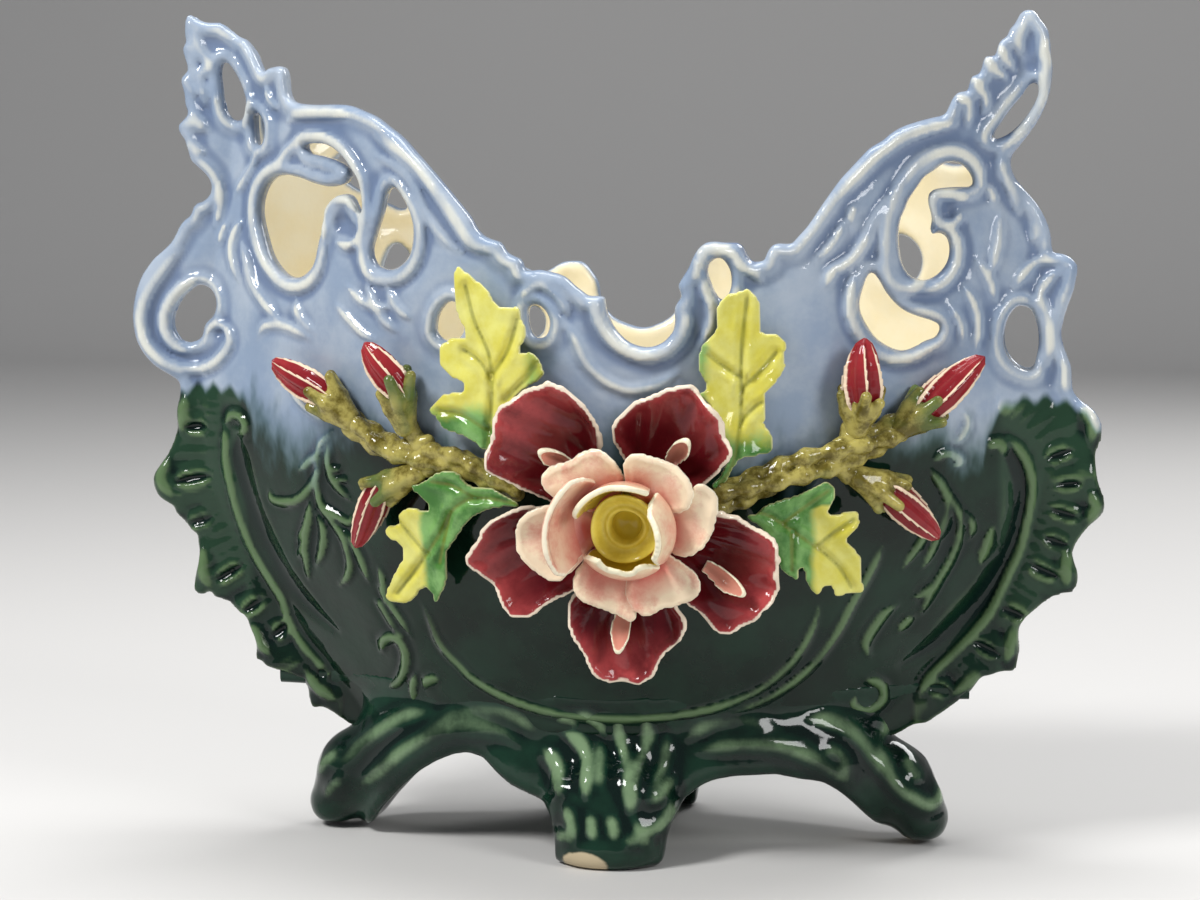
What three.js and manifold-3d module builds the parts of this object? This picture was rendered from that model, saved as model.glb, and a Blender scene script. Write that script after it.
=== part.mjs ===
// A footed openwork majolica jardiniere with an applied spray of flower, leaves and buds.
// Two cast walls, front and back, meet along an upright seam at each end. They stand on an
// arched base with four feet and hold an inside floor plate. Everything else is hand-made
// clay work seated on the front wall. Millimetres, +Z up, the front faces -Y.
import * as THREE from "three";
import { mergeVertices } from "three/addons/utils/BufferGeometryUtils.js";
import Module from "manifold-3d";

const wasm = await Module();
wasm.setup();

// ---------------------------------------------------------------- shared sizes
// The vessel's own frame has its upright axis at the origin and the end seams in y = 0.
const seat = 0.3; // left between pieces that touch
const wallThickness = 6;
const endThickness = 3.5; // each wall's own half of the doubled wall along the end seams
const baseHeight = 45; // the walls stand this high above the table
const wallWidth = 364;
const wallTop = 296;
const wallColumns = 34;
const wallRows = 18;
const wallFullness = 1.15; // how square the wall's plan is between the seams

// Half depth of the vessel at its middle and half length to its seam, by height.
const halfDepths = [[0, 38], [30, 42], [50, 47], [100, 62], [150, 72], [185, 77], [240, 82], [300, 84]];
const halfLengths = [
  [0, 80], [40, 90], [60, 108], [80, 124], [100, 138], [130, 150],
  [160, 152], [180, 150], [200, 146], [230, 140], [260, 138], [300, 138],
];
const softening = [-12, -6, 0, 6, 12]; // heights averaged to round the profile's corners

const flowerX = 14;
const flowerZ = 121;
const flowerLean = THREE.MathUtils.degToRad(10); // the wall leans out, and the flower with it

// ---------------------------------------------------------------- helpers
function stepAlong(stations, value) {
  const last = stations.length - 1;
  if (value <= stations[0][0]) return stations[0][1];
  if (value >= stations[last][0]) return stations[last][1];
  const next = stations.findIndex(([at]) => at > value);
  const [from, fromValue] = stations[next - 1];
  const [to, toValue] = stations[next];
  return fromValue + ((toValue - fromValue) * (value - from)) / (to - from);
}

function softAlong(stations, value) {
  const sum = softening.reduce((total, shift) => total + stepAlong(stations, value + shift), 0);
  return sum / softening.length;
}

// Distance of the wall's outer face from the seam plane, at a place in the elevation.
function wallFace(x, z) {
  const depth = softAlong(halfDepths, z);
  const reach = Math.min(Math.abs(x) / softAlong(halfLengths, z), 1);
  return endThickness + (depth - endThickness) * (1 - reach * reach) ** wallFullness;
}

// How much longer a straight cut through the wall is than its thickness, at a place.
function wallSlant(x, z) {
  const across = wallFace(x + 1, z) - wallFace(x - 1, z);
  const upwards = wallFace(x, z + 1) - wallFace(x, z - 1);
  return Math.hypot(1, across / 2, upwards / 2);
}

function wallInside(x, z) {
  return Math.max(wallFace(x, z) - wallThickness * wallSlant(x, z), seat / 2);
}

function merged(geometry) {
  const bare = geometry.clone();
  bare.deleteAttribute("normal");
  bare.deleteAttribute("uv");
  return mergeVertices(bare, 1e-4);
}

function toSolid(geometry) {
  const shared = merged(geometry);
  const mesh = new wasm.Mesh({
    numProp: 3,
    vertProperties: shared.attributes.position.array,
    triVerts: new Uint32Array(shared.index.array),
  });
  return new wasm.Manifold(mesh);
}

function toGeometry(solid) {
  const mesh = solid.getMesh();
  const geometry = new THREE.BufferGeometry();
  geometry.setAttribute("position", new THREE.BufferAttribute(new Float32Array(mesh.vertProperties), 3));
  geometry.setIndex(new THREE.BufferAttribute(new Uint32Array(mesh.triVerts), 1));
  return geometry;
}

// Bends a box that runs from -1 to 1 in X, 0 to 1 in Y and 0 to 1 in Z through a formula.
function bentBox(columns, rows, place) {
  const box = new THREE.BoxGeometry(2, 1, 1, columns, rows, 1);
  box.translate(0, 0.5, 0.5);
  const points = box.attributes.position;
  const point = new THREE.Vector3();
  for (let i = 0; i < points.count; i += 1) {
    point.copy(place(points.getX(i), points.getY(i), points.getZ(i)));
    points.setXYZ(i, point.x, point.y, point.z);
  }
  return merged(box);
}

function smoothLoop(points, steps) {
  const corners = points.map(([x, z]) => new THREE.Vector3(x, z, 0));
  const loop = new THREE.CatmullRomCurve3(corners, true).getSpacedPoints(steps);
  return loop.slice(0, steps).map((corner) => new THREE.Vector2(corner.x, corner.y));
}

const glaze = {
  blue: { color: 0x9fb0cb, roughness: 0.12, metalness: 0 },
  green: { color: 0x1d3b2c, roughness: 0.1, metalness: 0 },
  cream: { color: 0xf2e6bf, roughness: 0.2, metalness: 0 },
  crimson: { color: 0x8c1a26, roughness: 0.15, metalness: 0 },
  pink: { color: 0xe7b3a2, roughness: 0.2, metalness: 0 },
  pale: { color: 0xf0dcc8, roughness: 0.2, metalness: 0 },
  yellow: { color: 0xe2d35c, roughness: 0.15, metalness: 0 },
  leaf: { color: 0xd3d56a, roughness: 0.15, metalness: 0 },
  leafGreen: { color: 0x5f9150, roughness: 0.15, metalness: 0 },
  stem: { color: 0x9c9140, roughness: 0.18, metalness: 0 },
  bud: { color: 0xb0303a, roughness: 0.15, metalness: 0 },
};

const vessel = new THREE.Group();

function addPiece(name, geometry, finish, parent = vessel) {
  const piece = new THREE.Mesh(geometry, new THREE.MeshStandardMaterial(finish));
  piece.name = name;
  parent.add(piece);
  return piece;
}

// ---------------------------------------------------------------- cast walls
// The walls' outline in elevation, [x, z], clockwise from the left foot: the ends, which both
// walls share, and each wall's own rim.
const leftEnd = [
  [-112, 30], [-113.3, 48.5], [-116.5, 53], [-125.3, 56.2], [-132, 59.2], [-132.3, 66],
  [-134.6, 71.6], [-137, 76.3], [-144, 80.2], [-148.5, 81], [-154, 84], [-154.5, 87],
  [-152.8, 96], [-153.5, 104], [-157.7, 108.2], [-162, 114.2], [-167.4, 118.2],
  [-169.5, 123.6], [-167, 129.2], [-162.4, 136.9], [-160.4, 143.5], [-159.8, 150],
  [-159, 157.8], [-163.6, 162], [-168.2, 164.8], [-172, 168.7], [-174.8, 173.6],
  [-176.3, 181], [-175.4, 190.2], [-173, 197], [-168.2, 203.4], [-161.8, 209.2],
  [-158.6, 215], [-154.5, 219], [-149.7, 224], [-146.6, 228.5], [-148.8, 233.4],
  [-153.8, 238], [-155.9, 245], [-158.5, 250], [-155, 255], [-156.3, 261.7],
  [-157.5, 266.7], [-154.9, 270.2], [-156.7, 277.6], [-155.4, 281], [-155.5, 287.5],
  [-154, 290], [-151, 288.3], [-142.5, 286.8], [-137, 283], [-131, 279], [-128.5, 275.5],
  [-124.7, 269.5],
];
const frontRim = [
  [-118.5, 271], [-114.5, 270], [-113.3, 264], [-111, 259], [-107.5, 258], [-92.5, 257.5],
  [-80, 255], [-70.5, 250], [-60, 241.5], [-50, 231.3], [-40, 220], [-35.7, 215],
  [-28.8, 211.7], [-25.5, 208.2], [-21, 204], [-16.4, 202.9], [-13.4, 202.4], [-9, 201],
  [-4.3, 197.5], [0, 194.4], [5.1, 194.2], [5.6, 191.4], [8.1, 184.4], [13, 179.2],
  [18.7, 177.5], [24.3, 179.3], [27.7, 183.4], [28.3, 190], [29.9, 193], [29.4, 197.6],
  [32.7, 203.8], [36.3, 210.5], [41, 212.3], [47.8, 211.8], [50.6, 208.9], [53.1, 205.5],
  [56.5, 206], [58.7, 210.4], [62.9, 211.6], [66.5, 212.8], [70.7, 217.8], [80.3, 232.2],
  [86.5, 239.3], [92.7, 245.3], [100, 249.8], [110, 253], [115.2, 257.7],
];
const backRim = [
  [-120, 268], [-115, 262], [-108, 256.5], [-100, 252.5], [-93, 248.5], [-88, 243.5],
  [-82, 236], [-75, 226.5], [-68, 219], [-61, 211.8], [-54, 205], [-47, 199.5],
  [-40, 196.5], [-36, 197.5], [-31.7, 200.2], [-27, 200.8], [-23.7, 200.2], [-21.6, 198],
  [-18.2, 193], [-17.3, 187.6], [-14.1, 181.5], [-9.4, 178.2], [-1.3, 176], [5.4, 178],
  [10, 181], [13.5, 187], [15, 193], [18.5, 200.5], [23, 206], [28, 207.5], [33, 206.5],
  [37, 202.5], [41, 200.5], [46, 200], [50, 202], [56, 206], [63, 213], [70, 222.5],
  [80, 235.5], [90, 244.5], [100, 249.5], [110, 253], [115.2, 257.7],
];
const rightEnd = [
  [118.8, 261.8], [122.2, 266.8], [125.7, 271.5], [129.7, 274], [134.5, 283],
  [140.5, 289.7], [143, 289], [147.4, 283], [149.4, 269.8], [148, 260], [144.4, 251.4],
  [139.2, 244], [135.2, 237], [139.3, 229.8], [145.2, 222.8], [149.2, 214],
  [150.3, 207.3], [155.4, 206], [158.7, 202], [158, 196.5], [156, 190], [153.6, 180.1],
  [155.8, 171], [157.6, 160.8], [161.5, 157], [166.5, 152.4], [168, 145.2], [166, 138.4],
  [166.1, 130.8], [169.4, 120], [166.4, 114.8], [161.3, 109.6], [158.3, 103.1],
  [160.3, 95], [158, 89.2], [151.4, 87.2], [143.3, 81.2], [140.2, 74.6], [140.3, 66.2],
  [137.8, 61.3], [130.6, 60.1], [125.4, 56.6], [118.5, 49.7], [110.4, 43.8], [104, 30],
];

// The openings cut through the walls, each a smooth loop through its points. Those near the
// seams go through both walls.
const endOpenings = {
  leftPeakSlot: [
    [-141.8, 272.8], [-142.9, 266], [-141.6, 258.7], [-138.5, 253], [-134.6, 253],
    [-133, 259], [-134.7, 265], [-138.5, 271],
  ],
  leftPeakPinhole: [[-128.5, 255.3], [-124.8, 252], [-124.2, 247], [-127, 244], [-128.8, 249.5]],
  leftVolute: [
    [-151.4, 194], [-158, 189.5], [-161.5, 181], [-159, 174.8], [-152.2, 174.5],
    [-149.5, 180.2], [-144.8, 187], [-147, 192.6],
  ],
  rightEnd: [
    [139.8, 189.2], [135, 184.2], [133.9, 176], [136.6, 169.8], [142.7, 166.8],
    [145.4, 174], [144.8, 182.5],
  ],
  rightPeakSlot: [
    [143.6, 264.7], [143.6, 259], [138, 251], [130.4, 245.4], [132, 251.3], [137.2, 258.4],
  ],
};
const frontOpenings = {
  leftScroll: [
    [-105, 243.5], [-97, 243.6], [-88.5, 239.6], [-82, 231], [-80.3, 224], [-86, 225.5],
    [-93.5, 223.5], [-96.8, 217.4], [-99, 209], [-103.5, 201.2], [-110, 198.2],
    [-119.5, 203.3], [-125.3, 217], [-123.5, 229], [-116, 233.3], [-104, 232.3],
    [-92, 231.5], [-89, 234], [-94, 237.5], [-103, 239.6],
  ],
  leftTeardrop: [
    [-68, 229.5], [-62.5, 221.5], [-61.4, 211.5], [-64.5, 204.5], [-71, 202],
    [-76.8, 206.5], [-75.2, 215], [-71.5, 224],
  ],
  leafSide: [[-53, 183.5], [-51.5, 188.5], [-47, 191.8], [-43, 188.5], [-43.5, 181], [-48.5, 178.5]],
  rimEye: [[-17.5, 191.5], [-13.2, 187.5], [-12.9, 183.5], [-16.2, 180.3], [-20, 183.5], [-20.2, 188]],
  rimScroll: [[39.2, 205], [42.6, 207], [45.8, 202.5], [45.9, 196], [43.5, 192.8], [40.6, 196], [38.6, 201]],
  rightScroll: [
    [105, 230], [109, 234.6], [116.2, 238], [121.5, 234.6], [122.3, 230], [114, 229.4],
    [108.6, 227], [109.3, 219], [109.8, 214.2], [114.5, 212.7], [114.8, 204],
    [108.5, 198.5], [102, 201], [99, 211], [100.8, 222],
  ],
  rightCrescent: [
    [90.5, 201.6], [95.3, 194.6], [103, 188.6], [112.5, 183], [107.7, 178], [100.8, 175.2],
    [92.1, 179.5], [87, 188.4], [87.6, 196.5],
  ],
};
const backOpenings = {
  leftScroll: [
    [-108, 237], [-104, 241.5], [-97, 243], [-90, 239], [-85, 232], [-83.5, 225],
    [-86, 220.5], [-91, 222.5], [-97, 226], [-103, 229.5],
  ],
  leftTeardrop: [
    [-88, 208], [-84, 203], [-83.5, 196], [-86.5, 190.5], [-91, 190], [-94, 194.5], [-91.5, 205],
  ],
  rimEye: [[-41, 184], [-37.6, 180], [-38, 175], [-41, 172.5], [-44.5, 176], [-44, 181.5]],
  rightLobe: [[96, 212], [102, 208.5], [104, 202], [101, 195.5], [95, 193.5], [89.5, 199], [90.5, 208]],
  rightTop: [[112, 246.5], [118, 243.5], [121, 238.5], [116, 237], [110, 239], [107.5, 243.5]],
  rightCrescent: [[54, 198], [58, 190], [66, 184], [76, 180.5], [71, 175.5], [62, 175.5], [53, 184]],
};
const openingSteps = 16;

function wallSlab() {
  const height = wallTop - baseHeight;
  const slab = new THREE.BoxGeometry(wallWidth, 1, height, wallColumns, 1, wallRows);
  slab.translate(0, 0, baseHeight + height / 2);
  const points = slab.attributes.position;
  for (let i = 0; i < points.count; i += 1) {
    const x = points.getX(i);
    const z = points.getZ(i);
    points.setY(i, points.getY(i) < 0 ? -wallFace(x, z) : -wallInside(x, z));
  }
  return toSolid(slab);
}

function turnedToBack(geometry) {
  const back = geometry.clone();
  back.scale(1, -1, 1);
  const corners = back.index.array;
  for (let i = 0; i < corners.length; i += 3)
    [corners[i + 1], corners[i + 2]] = [corners[i + 2], corners[i + 1]];
  return back;
}

const slab = wallSlab();

function prismOf(outline) {
  const reachOut = 2 * stepAlong(halfDepths, wallTop);
  const settings = { depth: reachOut, bevelEnabled: false };
  return toSolid(new THREE.ExtrudeGeometry(new THREE.Shape(outline), settings).rotateX(Math.PI / 2));
}

function cutWall(rim, openings) {
  const outline = [...leftEnd, ...rim, ...rightEnd].map(([x, z]) => new THREE.Vector2(x, z));
  return Object.values({ ...endOpenings, ...openings }).reduce(
    (wall, loop) => wall.subtract(prismOf(smoothLoop(loop, openingSteps))),
    slab.intersect(prismOf(outline)),
  );
}

addPiece("front_wall", toGeometry(cutWall(frontRim, frontOpenings)), glaze.blue);
addPiece("back_wall", turnedToBack(toGeometry(cutWall(backRim, backOpenings))), glaze.blue);

// ---------------------------------------------------------------- bowl floor
const floorThickness = 6;
const floorEndDepth = 0.3; // half width of the plate where it ends between the walls
const floorSteps = 24;

// How far from the middle the room between the walls is still this deep, at the floor.
function roomReach(halfDepth) {
  let near = 0;
  let far = softAlong(halfLengths, baseHeight);
  while (far - near > 0.001) {
    const middle = (near + far) / 2;
    if (wallInside(middle, baseHeight) > halfDepth) near = middle;
    else far = middle;
  }
  return near;
}

function floorOutline() {
  const floorReach = roomReach(seat + floorEndDepth);
  const rim = [];
  for (let i = 0; i <= floorSteps; i += 1) {
    const x = -floorReach + (2 * floorReach * i) / floorSteps;
    rim.push(new THREE.Vector2(x, -(wallInside(x, baseHeight) - seat)));
  }
  const far = rim.slice().reverse();
  return rim.concat(far.map((point) => new THREE.Vector2(point.x, -point.y)));
}

const floorPlate = new THREE.ExtrudeGeometry(new THREE.Shape(floorOutline()), {
  depth: floorThickness,
  bevelEnabled: false,
});
floorPlate.translate(0, 0, baseHeight);
addPiece("bowl_floor", floorPlate, glaze.cream);

// ---------------------------------------------------------------- foot base
// A hollow skirt, oval in plan, that flares to the table. Four arches are cut in it, and a
// limb grows out at each end and a toe at the front and the back.
const baseHalfLength = 92;
const baseHalfDepth = 44;
const baseWall = 9;
const baseTop = baseHeight - seat;
const skirtFlare = 2; // how far the skirt's lower edge stands out past its upper edge
const toeFlare = 15; // how much further it stands out behind the front and back toes
const toeX = 4; // the front and back toes stand a little right of the middle
const toeHalfWidth = 25;
const aroundSteps = 72;
const skirtLevels = 5;
const limbSides = 14;
const limbRings = 10;

// The underside of the front and back arches, [x, z], from the left end to the right end.
const leftArch = [
  [-88, 0], [-84, 8], [-78.4, 14.3], [-73.4, 19.5], [-66.7, 25.6], [-60, 30], [-53.3, 33],
  [-48.3, 34], [-42.5, 33], [-36.7, 27.4], [-32.5, 24.2], [-25, 21.1], [-20, 19.2],
  [-16, 14.5], [-14.5, 6], [-14, 0],
];
const rightArch = [
  [21, 0], [21.6, 6], [23, 10.7], [25, 15.8], [27, 20], [31.2, 24], [35.3, 26.6], [39.4, 28],
  [45, 28.7], [58.8, 28.9], [66.9, 26.7], [74.1, 25], [79.8, 21.2], [84.6, 16.5],
  [91.8, 8.2], [97, 0],
];

// Places on the limbs: how far each lies outside the skirt's waist, and its height.
const hipOut = -26;
const hipZ = baseHeight - 3;
const kneeZ = 21;
const ankleZ = 7;
const leftKneeOut = 3;
const leftAnkleOut = 8.5;
const rightKneeOut = 6;
const rightAnkleOut = 15;
const toeRootOut = 6;
const toeRootZ = 20;
const toeTipOut = 12;
const toeTipZ = 6;

// A place on the limb at one end or side, along X or along Y.
function endLimb(way, out, z) {
  return [way * (baseHalfLength + out), 0, z];
}

function sideToe(way, out, z) {
  return [toeX, way * (baseHalfDepth + out), z];
}

// Each limb runs through its places with a radius at each. Its cross section is drawn out
// along X or Y by the share given.
const limbs = [
  {
    at: [endLimb(-1, hipOut, hipZ), endLimb(-1, leftKneeOut, kneeZ), endLimb(-1, leftAnkleOut, ankleZ)],
    radii: [15, 13, 11],
    drawn: [1, 1.39, 1],
  },
  {
    at: [endLimb(1, hipOut, hipZ), endLimb(1, rightKneeOut, kneeZ), endLimb(1, rightAnkleOut, ankleZ)],
    radii: [15, 12.5, 10.5],
    drawn: [1, 1.39, 1],
  },
  {
    at: [sideToe(-1, toeRootOut, toeRootZ), sideToe(-1, toeTipOut, toeTipZ)],
    radii: [15, 11],
    drawn: [1.39, 0.74, 1],
  },
  {
    at: [sideToe(1, toeRootOut, toeRootZ), sideToe(1, toeTipOut, toeTipZ)],
    radii: [15, 11],
    drawn: [1.39, 0.74, 1],
  },
];

// The skirt's surface set in by a distance, as a closed solid between two heights.
function skirtSolid(inset, lowest, highest) {
  const shape = new THREE.CylinderGeometry(1, 1, 1, aroundSteps, skirtLevels);
  shape.rotateX(Math.PI / 2).translate(0, 0, 0.5);
  const points = shape.attributes.position;
  for (let i = 0; i < points.count; i += 1) {
    const share = new THREE.Vector2(points.getX(i), points.getY(i));
    const z = lowest + (highest - lowest) * points.getZ(i);
    const drop = THREE.MathUtils.clamp(1 - z / baseTop, 0, 1);
    const plan = new THREE.Vector2(share.x * baseHalfLength, share.y * baseHalfDepth);
    const outward = new THREE.Vector2(share.x / baseHalfLength, share.y / baseHalfDepth);
    outward.normalize();
    const behindToe = Math.max(1 - ((plan.x - toeX) / toeHalfWidth) ** 2, 0) ** 0.7;
    const flare = skirtFlare * drop + toeFlare * behindToe * drop ** 1.25;
    plan.addScaledVector(outward, (flare - inset) * share.length());
    points.setXYZ(i, plan.x, plan.y, z);
  }
  return toSolid(shape);
}

function limbSolid(from, to, fromRadius, toRadius, drawn) {
  const stretch = new THREE.Vector3(...drawn);
  const start = new THREE.Vector3(...from).divide(stretch);
  const run = new THREE.Vector3(...to).divide(stretch).sub(start);
  const profile = [];
  for (let i = 0; i <= limbRings; i += 1) {
    const turn = Math.PI * (i / limbRings - 0.5);
    const radius = 2 * i > limbRings ? toRadius : fromRadius;
    const along = 2 * i > limbRings ? run.length() : 0;
    profile.push(new THREE.Vector2(radius * Math.cos(turn), along + radius * Math.sin(turn)));
  }
  profile[0].x = 0;
  profile[limbRings].x = 0;
  const shape = new THREE.LatheGeometry(profile, limbSides);
  const upright = new THREE.Vector3(0, 1, 0);
  shape.applyQuaternion(new THREE.Quaternion().setFromUnitVectors(upright, run.normalize()));
  shape.translate(start.x, start.y, start.z).scale(stretch.x, stretch.y, stretch.z);
  return toSolid(shape);
}

// A box as large as needed for a cut, between two heights.
function layer(lowest, highest) {
  const box = new THREE.BoxGeometry(wallWidth, wallWidth, highest - lowest);
  return toSolid(box.translate(0, 0, (lowest + highest) / 2));
}

function archSolid(underside) {
  const outline = underside.map(([x, z]) => new THREE.Vector2(x, z));
  outline[0].y -= seat;
  outline[outline.length - 1].y -= seat;
  const opening = new THREE.ExtrudeGeometry(new THREE.Shape(outline), {
    depth: wallWidth,
    bevelEnabled: false,
  });
  return toSolid(opening.translate(0, 0, -wallWidth / 2).rotateX(Math.PI / 2));
}

function footBase() {
  let base = skirtSolid(0, 0, baseTop).subtract(archSolid(leftArch)).subtract(archSolid(rightArch));
  for (const { at, radii, drawn } of limbs)
    for (let i = 1; i < at.length; i += 1)
      base = base.add(limbSolid(at[i - 1], at[i], radii[i - 1], radii[i], drawn));
  return base.subtract(skirtSolid(baseWall, -seat, baseHeight)).intersect(layer(0, baseTop));
}

addPiece("foot_base", toGeometry(footBase()), glaze.green);

// ---------------------------------------------------------------- flower
// A petal is a bent plate. Its middle line is a curve of [radius, height] in the flower's
// own frame: X across, Y up the wall and Z out of the wall.
const flower = new THREE.Group();
const padThickness = 3.6;
const padRadius = 17;
const petalThickness = 2.6;
const petalColumns = 4;
const petalRows = 5;

function petal({ angle, sector, line, halfWidth, cup, thickness = petalThickness }) {
  const [start, middle, tip] = line.map(([radius, height]) => new THREE.Vector2(radius, height));
  const curve = new THREE.QuadraticBezierCurve(start, middle, tip);
  const spread = Math.tan(THREE.MathUtils.degToRad(sector));
  const turn = THREE.MathUtils.degToRad(angle);
  const out = new THREE.Vector2(Math.cos(turn), Math.sin(turn));
  return bentBox(petalColumns, petalRows, (u, v, side) => {
    const point = curve.getPoint(v * (1 - 0.16 * u * u * v));
    const tangent = curve.getTangent(v);
    const rounded = halfWidth * Math.sin(Math.PI * (0.12 + 0.74 * v));
    const across = u * Math.min(rounded, Math.max(point.x * spread - seat, 1));
    const lift = cup * u * u * v + thickness * side;
    const radius = point.x - tangent.y * lift;
    const height = point.y + tangent.x * lift;
    return new THREE.Vector3(
      radius * out.x + across * out.y,
      radius * out.y - across * out.x,
      height,
    );
  });
}

const pad = new THREE.CylinderGeometry(padRadius, padRadius, padThickness, 24);
pad.rotateX(Math.PI / 2).translate(0, 0, padThickness / 2);
addPiece("flower_pad", pad, glaze.green, flower);

const outerFoot = padThickness + seat;
const outerRoot = 8;
const outerBelly = 34;
const outerReach = 54;
const outerBellyRise = 0.8;
const outerRise = 13;
const outerHalfWidth = 19;
const outerCup = 3;
const outerLine = [
  [outerRoot, outerFoot], [outerBelly, outerFoot + outerBellyRise], [outerReach, outerFoot + outerRise],
];
const outerAngles = [134, 63, -23, -91, 198];
outerAngles.forEach((angle, i) =>
  addPiece(
    `outer_petal_${i + 1}`,
    petal({ angle, sector: 30, line: outerLine, halfWidth: outerHalfWidth, cup: outerCup }),
    glaze.crimson,
    flower,
  ),
);

const curledFoot = outerFoot + petalThickness + 2.4;
const curledLine = [[26.5, curledFoot], [37, curledFoot + 1.5], [38, curledFoot + 13]];
[134, 57, -28, -95].forEach((angle, i) =>
  addPiece(
    `curled_petal_${i + 1}`,
    petal({ angle, sector: 12, line: curledLine, halfWidth: 6, cup: 1, thickness: 2.2 }),
    glaze.pale,
    flower,
  ),
);

const middleFoot = outerFoot + petalThickness + seat;
const middleLine = [[8, middleFoot], [22, middleFoot + 1.4], [31, middleFoot + 14]];
[124, 54, 9, -59, -110, 189].forEach((angle, i) =>
  addPiece(
    `middle_petal_${i + 1}`,
    petal({ angle, sector: 17, line: middleLine, halfWidth: 13, cup: 2.5 }),
    glaze.pink,
    flower,
  ),
);

const cupFoot = middleFoot + petalThickness + 1.2;
const cupLine = [[10.6, cupFoot], [17.5, cupFoot + 5], [16.5, cupFoot + 21]];
[165, 107, 4, 255].forEach((angle, i) =>
  addPiece(
    `cup_petal_${i + 1}`,
    petal({ angle, sector: 21, line: cupLine, halfWidth: 9, cup: 1.4 }),
    glaze.pale,
    flower,
  ),
);

const centreRadius = 7.4;
const centreHole = 3.6;
const centreHeight = 20;
const centreFoot = padThickness + seat;
const centreProfile = [
  [0, centreFoot], [centreRadius - 1.8, centreFoot], [centreRadius - 1.8, centreFoot + 7],
  [centreRadius, centreFoot + centreHeight * 0.6], [centreRadius - 1, centreFoot + centreHeight],
  [centreHole, centreFoot + centreHeight - 1.5], [centreHole - 1, centreFoot + 9], [0, centreFoot + 9],
].map(([radius, height]) => new THREE.Vector2(radius, height));
const centre = new THREE.LatheGeometry(centreProfile, 20).rotateX(Math.PI / 2);
addPiece("flower_centre", centre, glaze.yellow, flower);

// The pad's upper edge rests on the wall, which leans more than the flower does.
const padTopZ = flowerZ + padRadius * Math.cos(flowerLean);
const padTopOut = wallFace(0, padTopZ) + seat;
flower.rotation.x = Math.PI / 2 + flowerLean;
flower.position.set(flowerX, -(padTopOut - padRadius * Math.sin(flowerLean)), flowerZ);
vessel.add(flower);

// ---------------------------------------------------------------- leaves
// A leaf is a thin plate laid on the wall from its stalk to its tip, with lobed edges.
const leafThickness = 3;
const leafSeat = 0.5;
const leafColumns = 4;
const leafRows = 12;

function wallLeaf({ stalk, tip, halfWidth, lobes, rise }) {
  const axis = new THREE.Vector2(tip[0] - stalk[0], tip[1] - stalk[1]);
  const side = new THREE.Vector2(axis.y, -axis.x).normalize();
  return bentBox(leafColumns, leafRows, (u, v, face) => {
    const body = Math.sin(Math.PI * (0.1 + 0.82 * v)) ** 0.7;
    const lobed = 1 + 0.2 * Math.cos(2 * Math.PI * lobes * v);
    const across = u * halfWidth * body * lobed;
    const x = stalk[0] + axis.x * v + side.x * across;
    const z = stalk[1] + axis.y * v + side.y * across;
    const out = wallFace(x, z) + leafSeat + rise * v * v + leafThickness * face;
    return new THREE.Vector3(x, -out, z);
  });
}

const leaves = {
  upper_left_leaf: { stalk: [-29, 146], tip: [-39, 207], halfWidth: 14, lobes: 3, rise: 4 },
  upper_right_leaf: { stalk: [45, 145], tip: [51.5, 199], halfWidth: 12.5, lobes: 3, rise: 3 },
  lower_left_leaf: { stalk: [-27, 127], tip: [-64, 98], halfWidth: 14, lobes: 3, rise: 5 },
  lower_right_leaf: { stalk: [52, 128], tip: [90, 103], halfWidth: 13, lobes: 3, rise: 5 },
};
for (const [name, shape] of Object.entries(leaves))
  addPiece(name, wallLeaf(shape), name.startsWith("lower") ? glaze.leafGreen : glaze.leaf);

// ---------------------------------------------------------------- stems, calyxes, buds
const stemRadius = 3;
const stemSides = 7;
const calyxLength = 9;
const calyxRadius = 6.4;
const budRadius = 5.2;
const budSides = 10;

// Each route is [x, z] on the wall, from the flower outwards. A calyx's foot and a bud's tip
// also have their height off the wall.
const sprays = {
  left_upper: {
    route: [[-24, 139], [-48, 143], [-68, 146]],
    calyx: [-88.5, 152.5, 6.6], tip: [-115, 167, 9],
  },
  left_middle: {
    route: [[-56, 151.4], [-60, 152.8]],
    calyx: [-67.5, 157, 6.6], tip: [-75, 177, 9],
  },
  left_lower: {
    route: [[-47, 136], [-56, 135]],
    calyx: [-70.5, 131, 6.6], tip: [-84, 107, 10],
  },
  right_upper: {
    route: [[47, 137], [67, 141], [86, 145.5]],
    calyx: [105.5, 151, 6.8], tip: [128, 168, 10],
  },
  right_middle: {
    route: [[70, 149.5], [76, 152.5]],
    calyx: [85, 158.5, 6.6], tip: [89.5, 180.5, 9],
  },
  right_lower: {
    route: [[76, 134.5], [84, 133.5]],
    calyx: [94.5, 131, 6.8], tip: [113.5, 113.5, 10],
  },
};
const stemHeight = stemRadius + seat + 0.1; // a stem's middle line above the wall
const stemLead = 7; // a stem runs straight for this long into its calyx

// A point off the wall, by its height square to the wall.
function offWall([x, z, height = stemHeight]) {
  return new THREE.Vector3(x, -(wallFace(x, z) + height * wallSlant(x, z)), z);
}

function stemTube(route, calyxAt, heading) {
  const section = new THREE.Shape();
  section.absarc(0, 0, stemRadius, 0, 2 * Math.PI);
  const lead = calyxAt.clone().addScaledVector(heading, -stemLead);
  const end = calyxAt.clone().addScaledVector(heading, -2 * seat);
  const path = new THREE.CatmullRomCurve3([...route.map(offWall), lead, end]);
  return merged(
    new THREE.ExtrudeGeometry(section, {
      extrudePath: path,
      steps: 4 * (route.length + 1),
      curveSegments: Math.ceil(stemSides / 2),
      bevelEnabled: false,
    }),
  );
}

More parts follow.
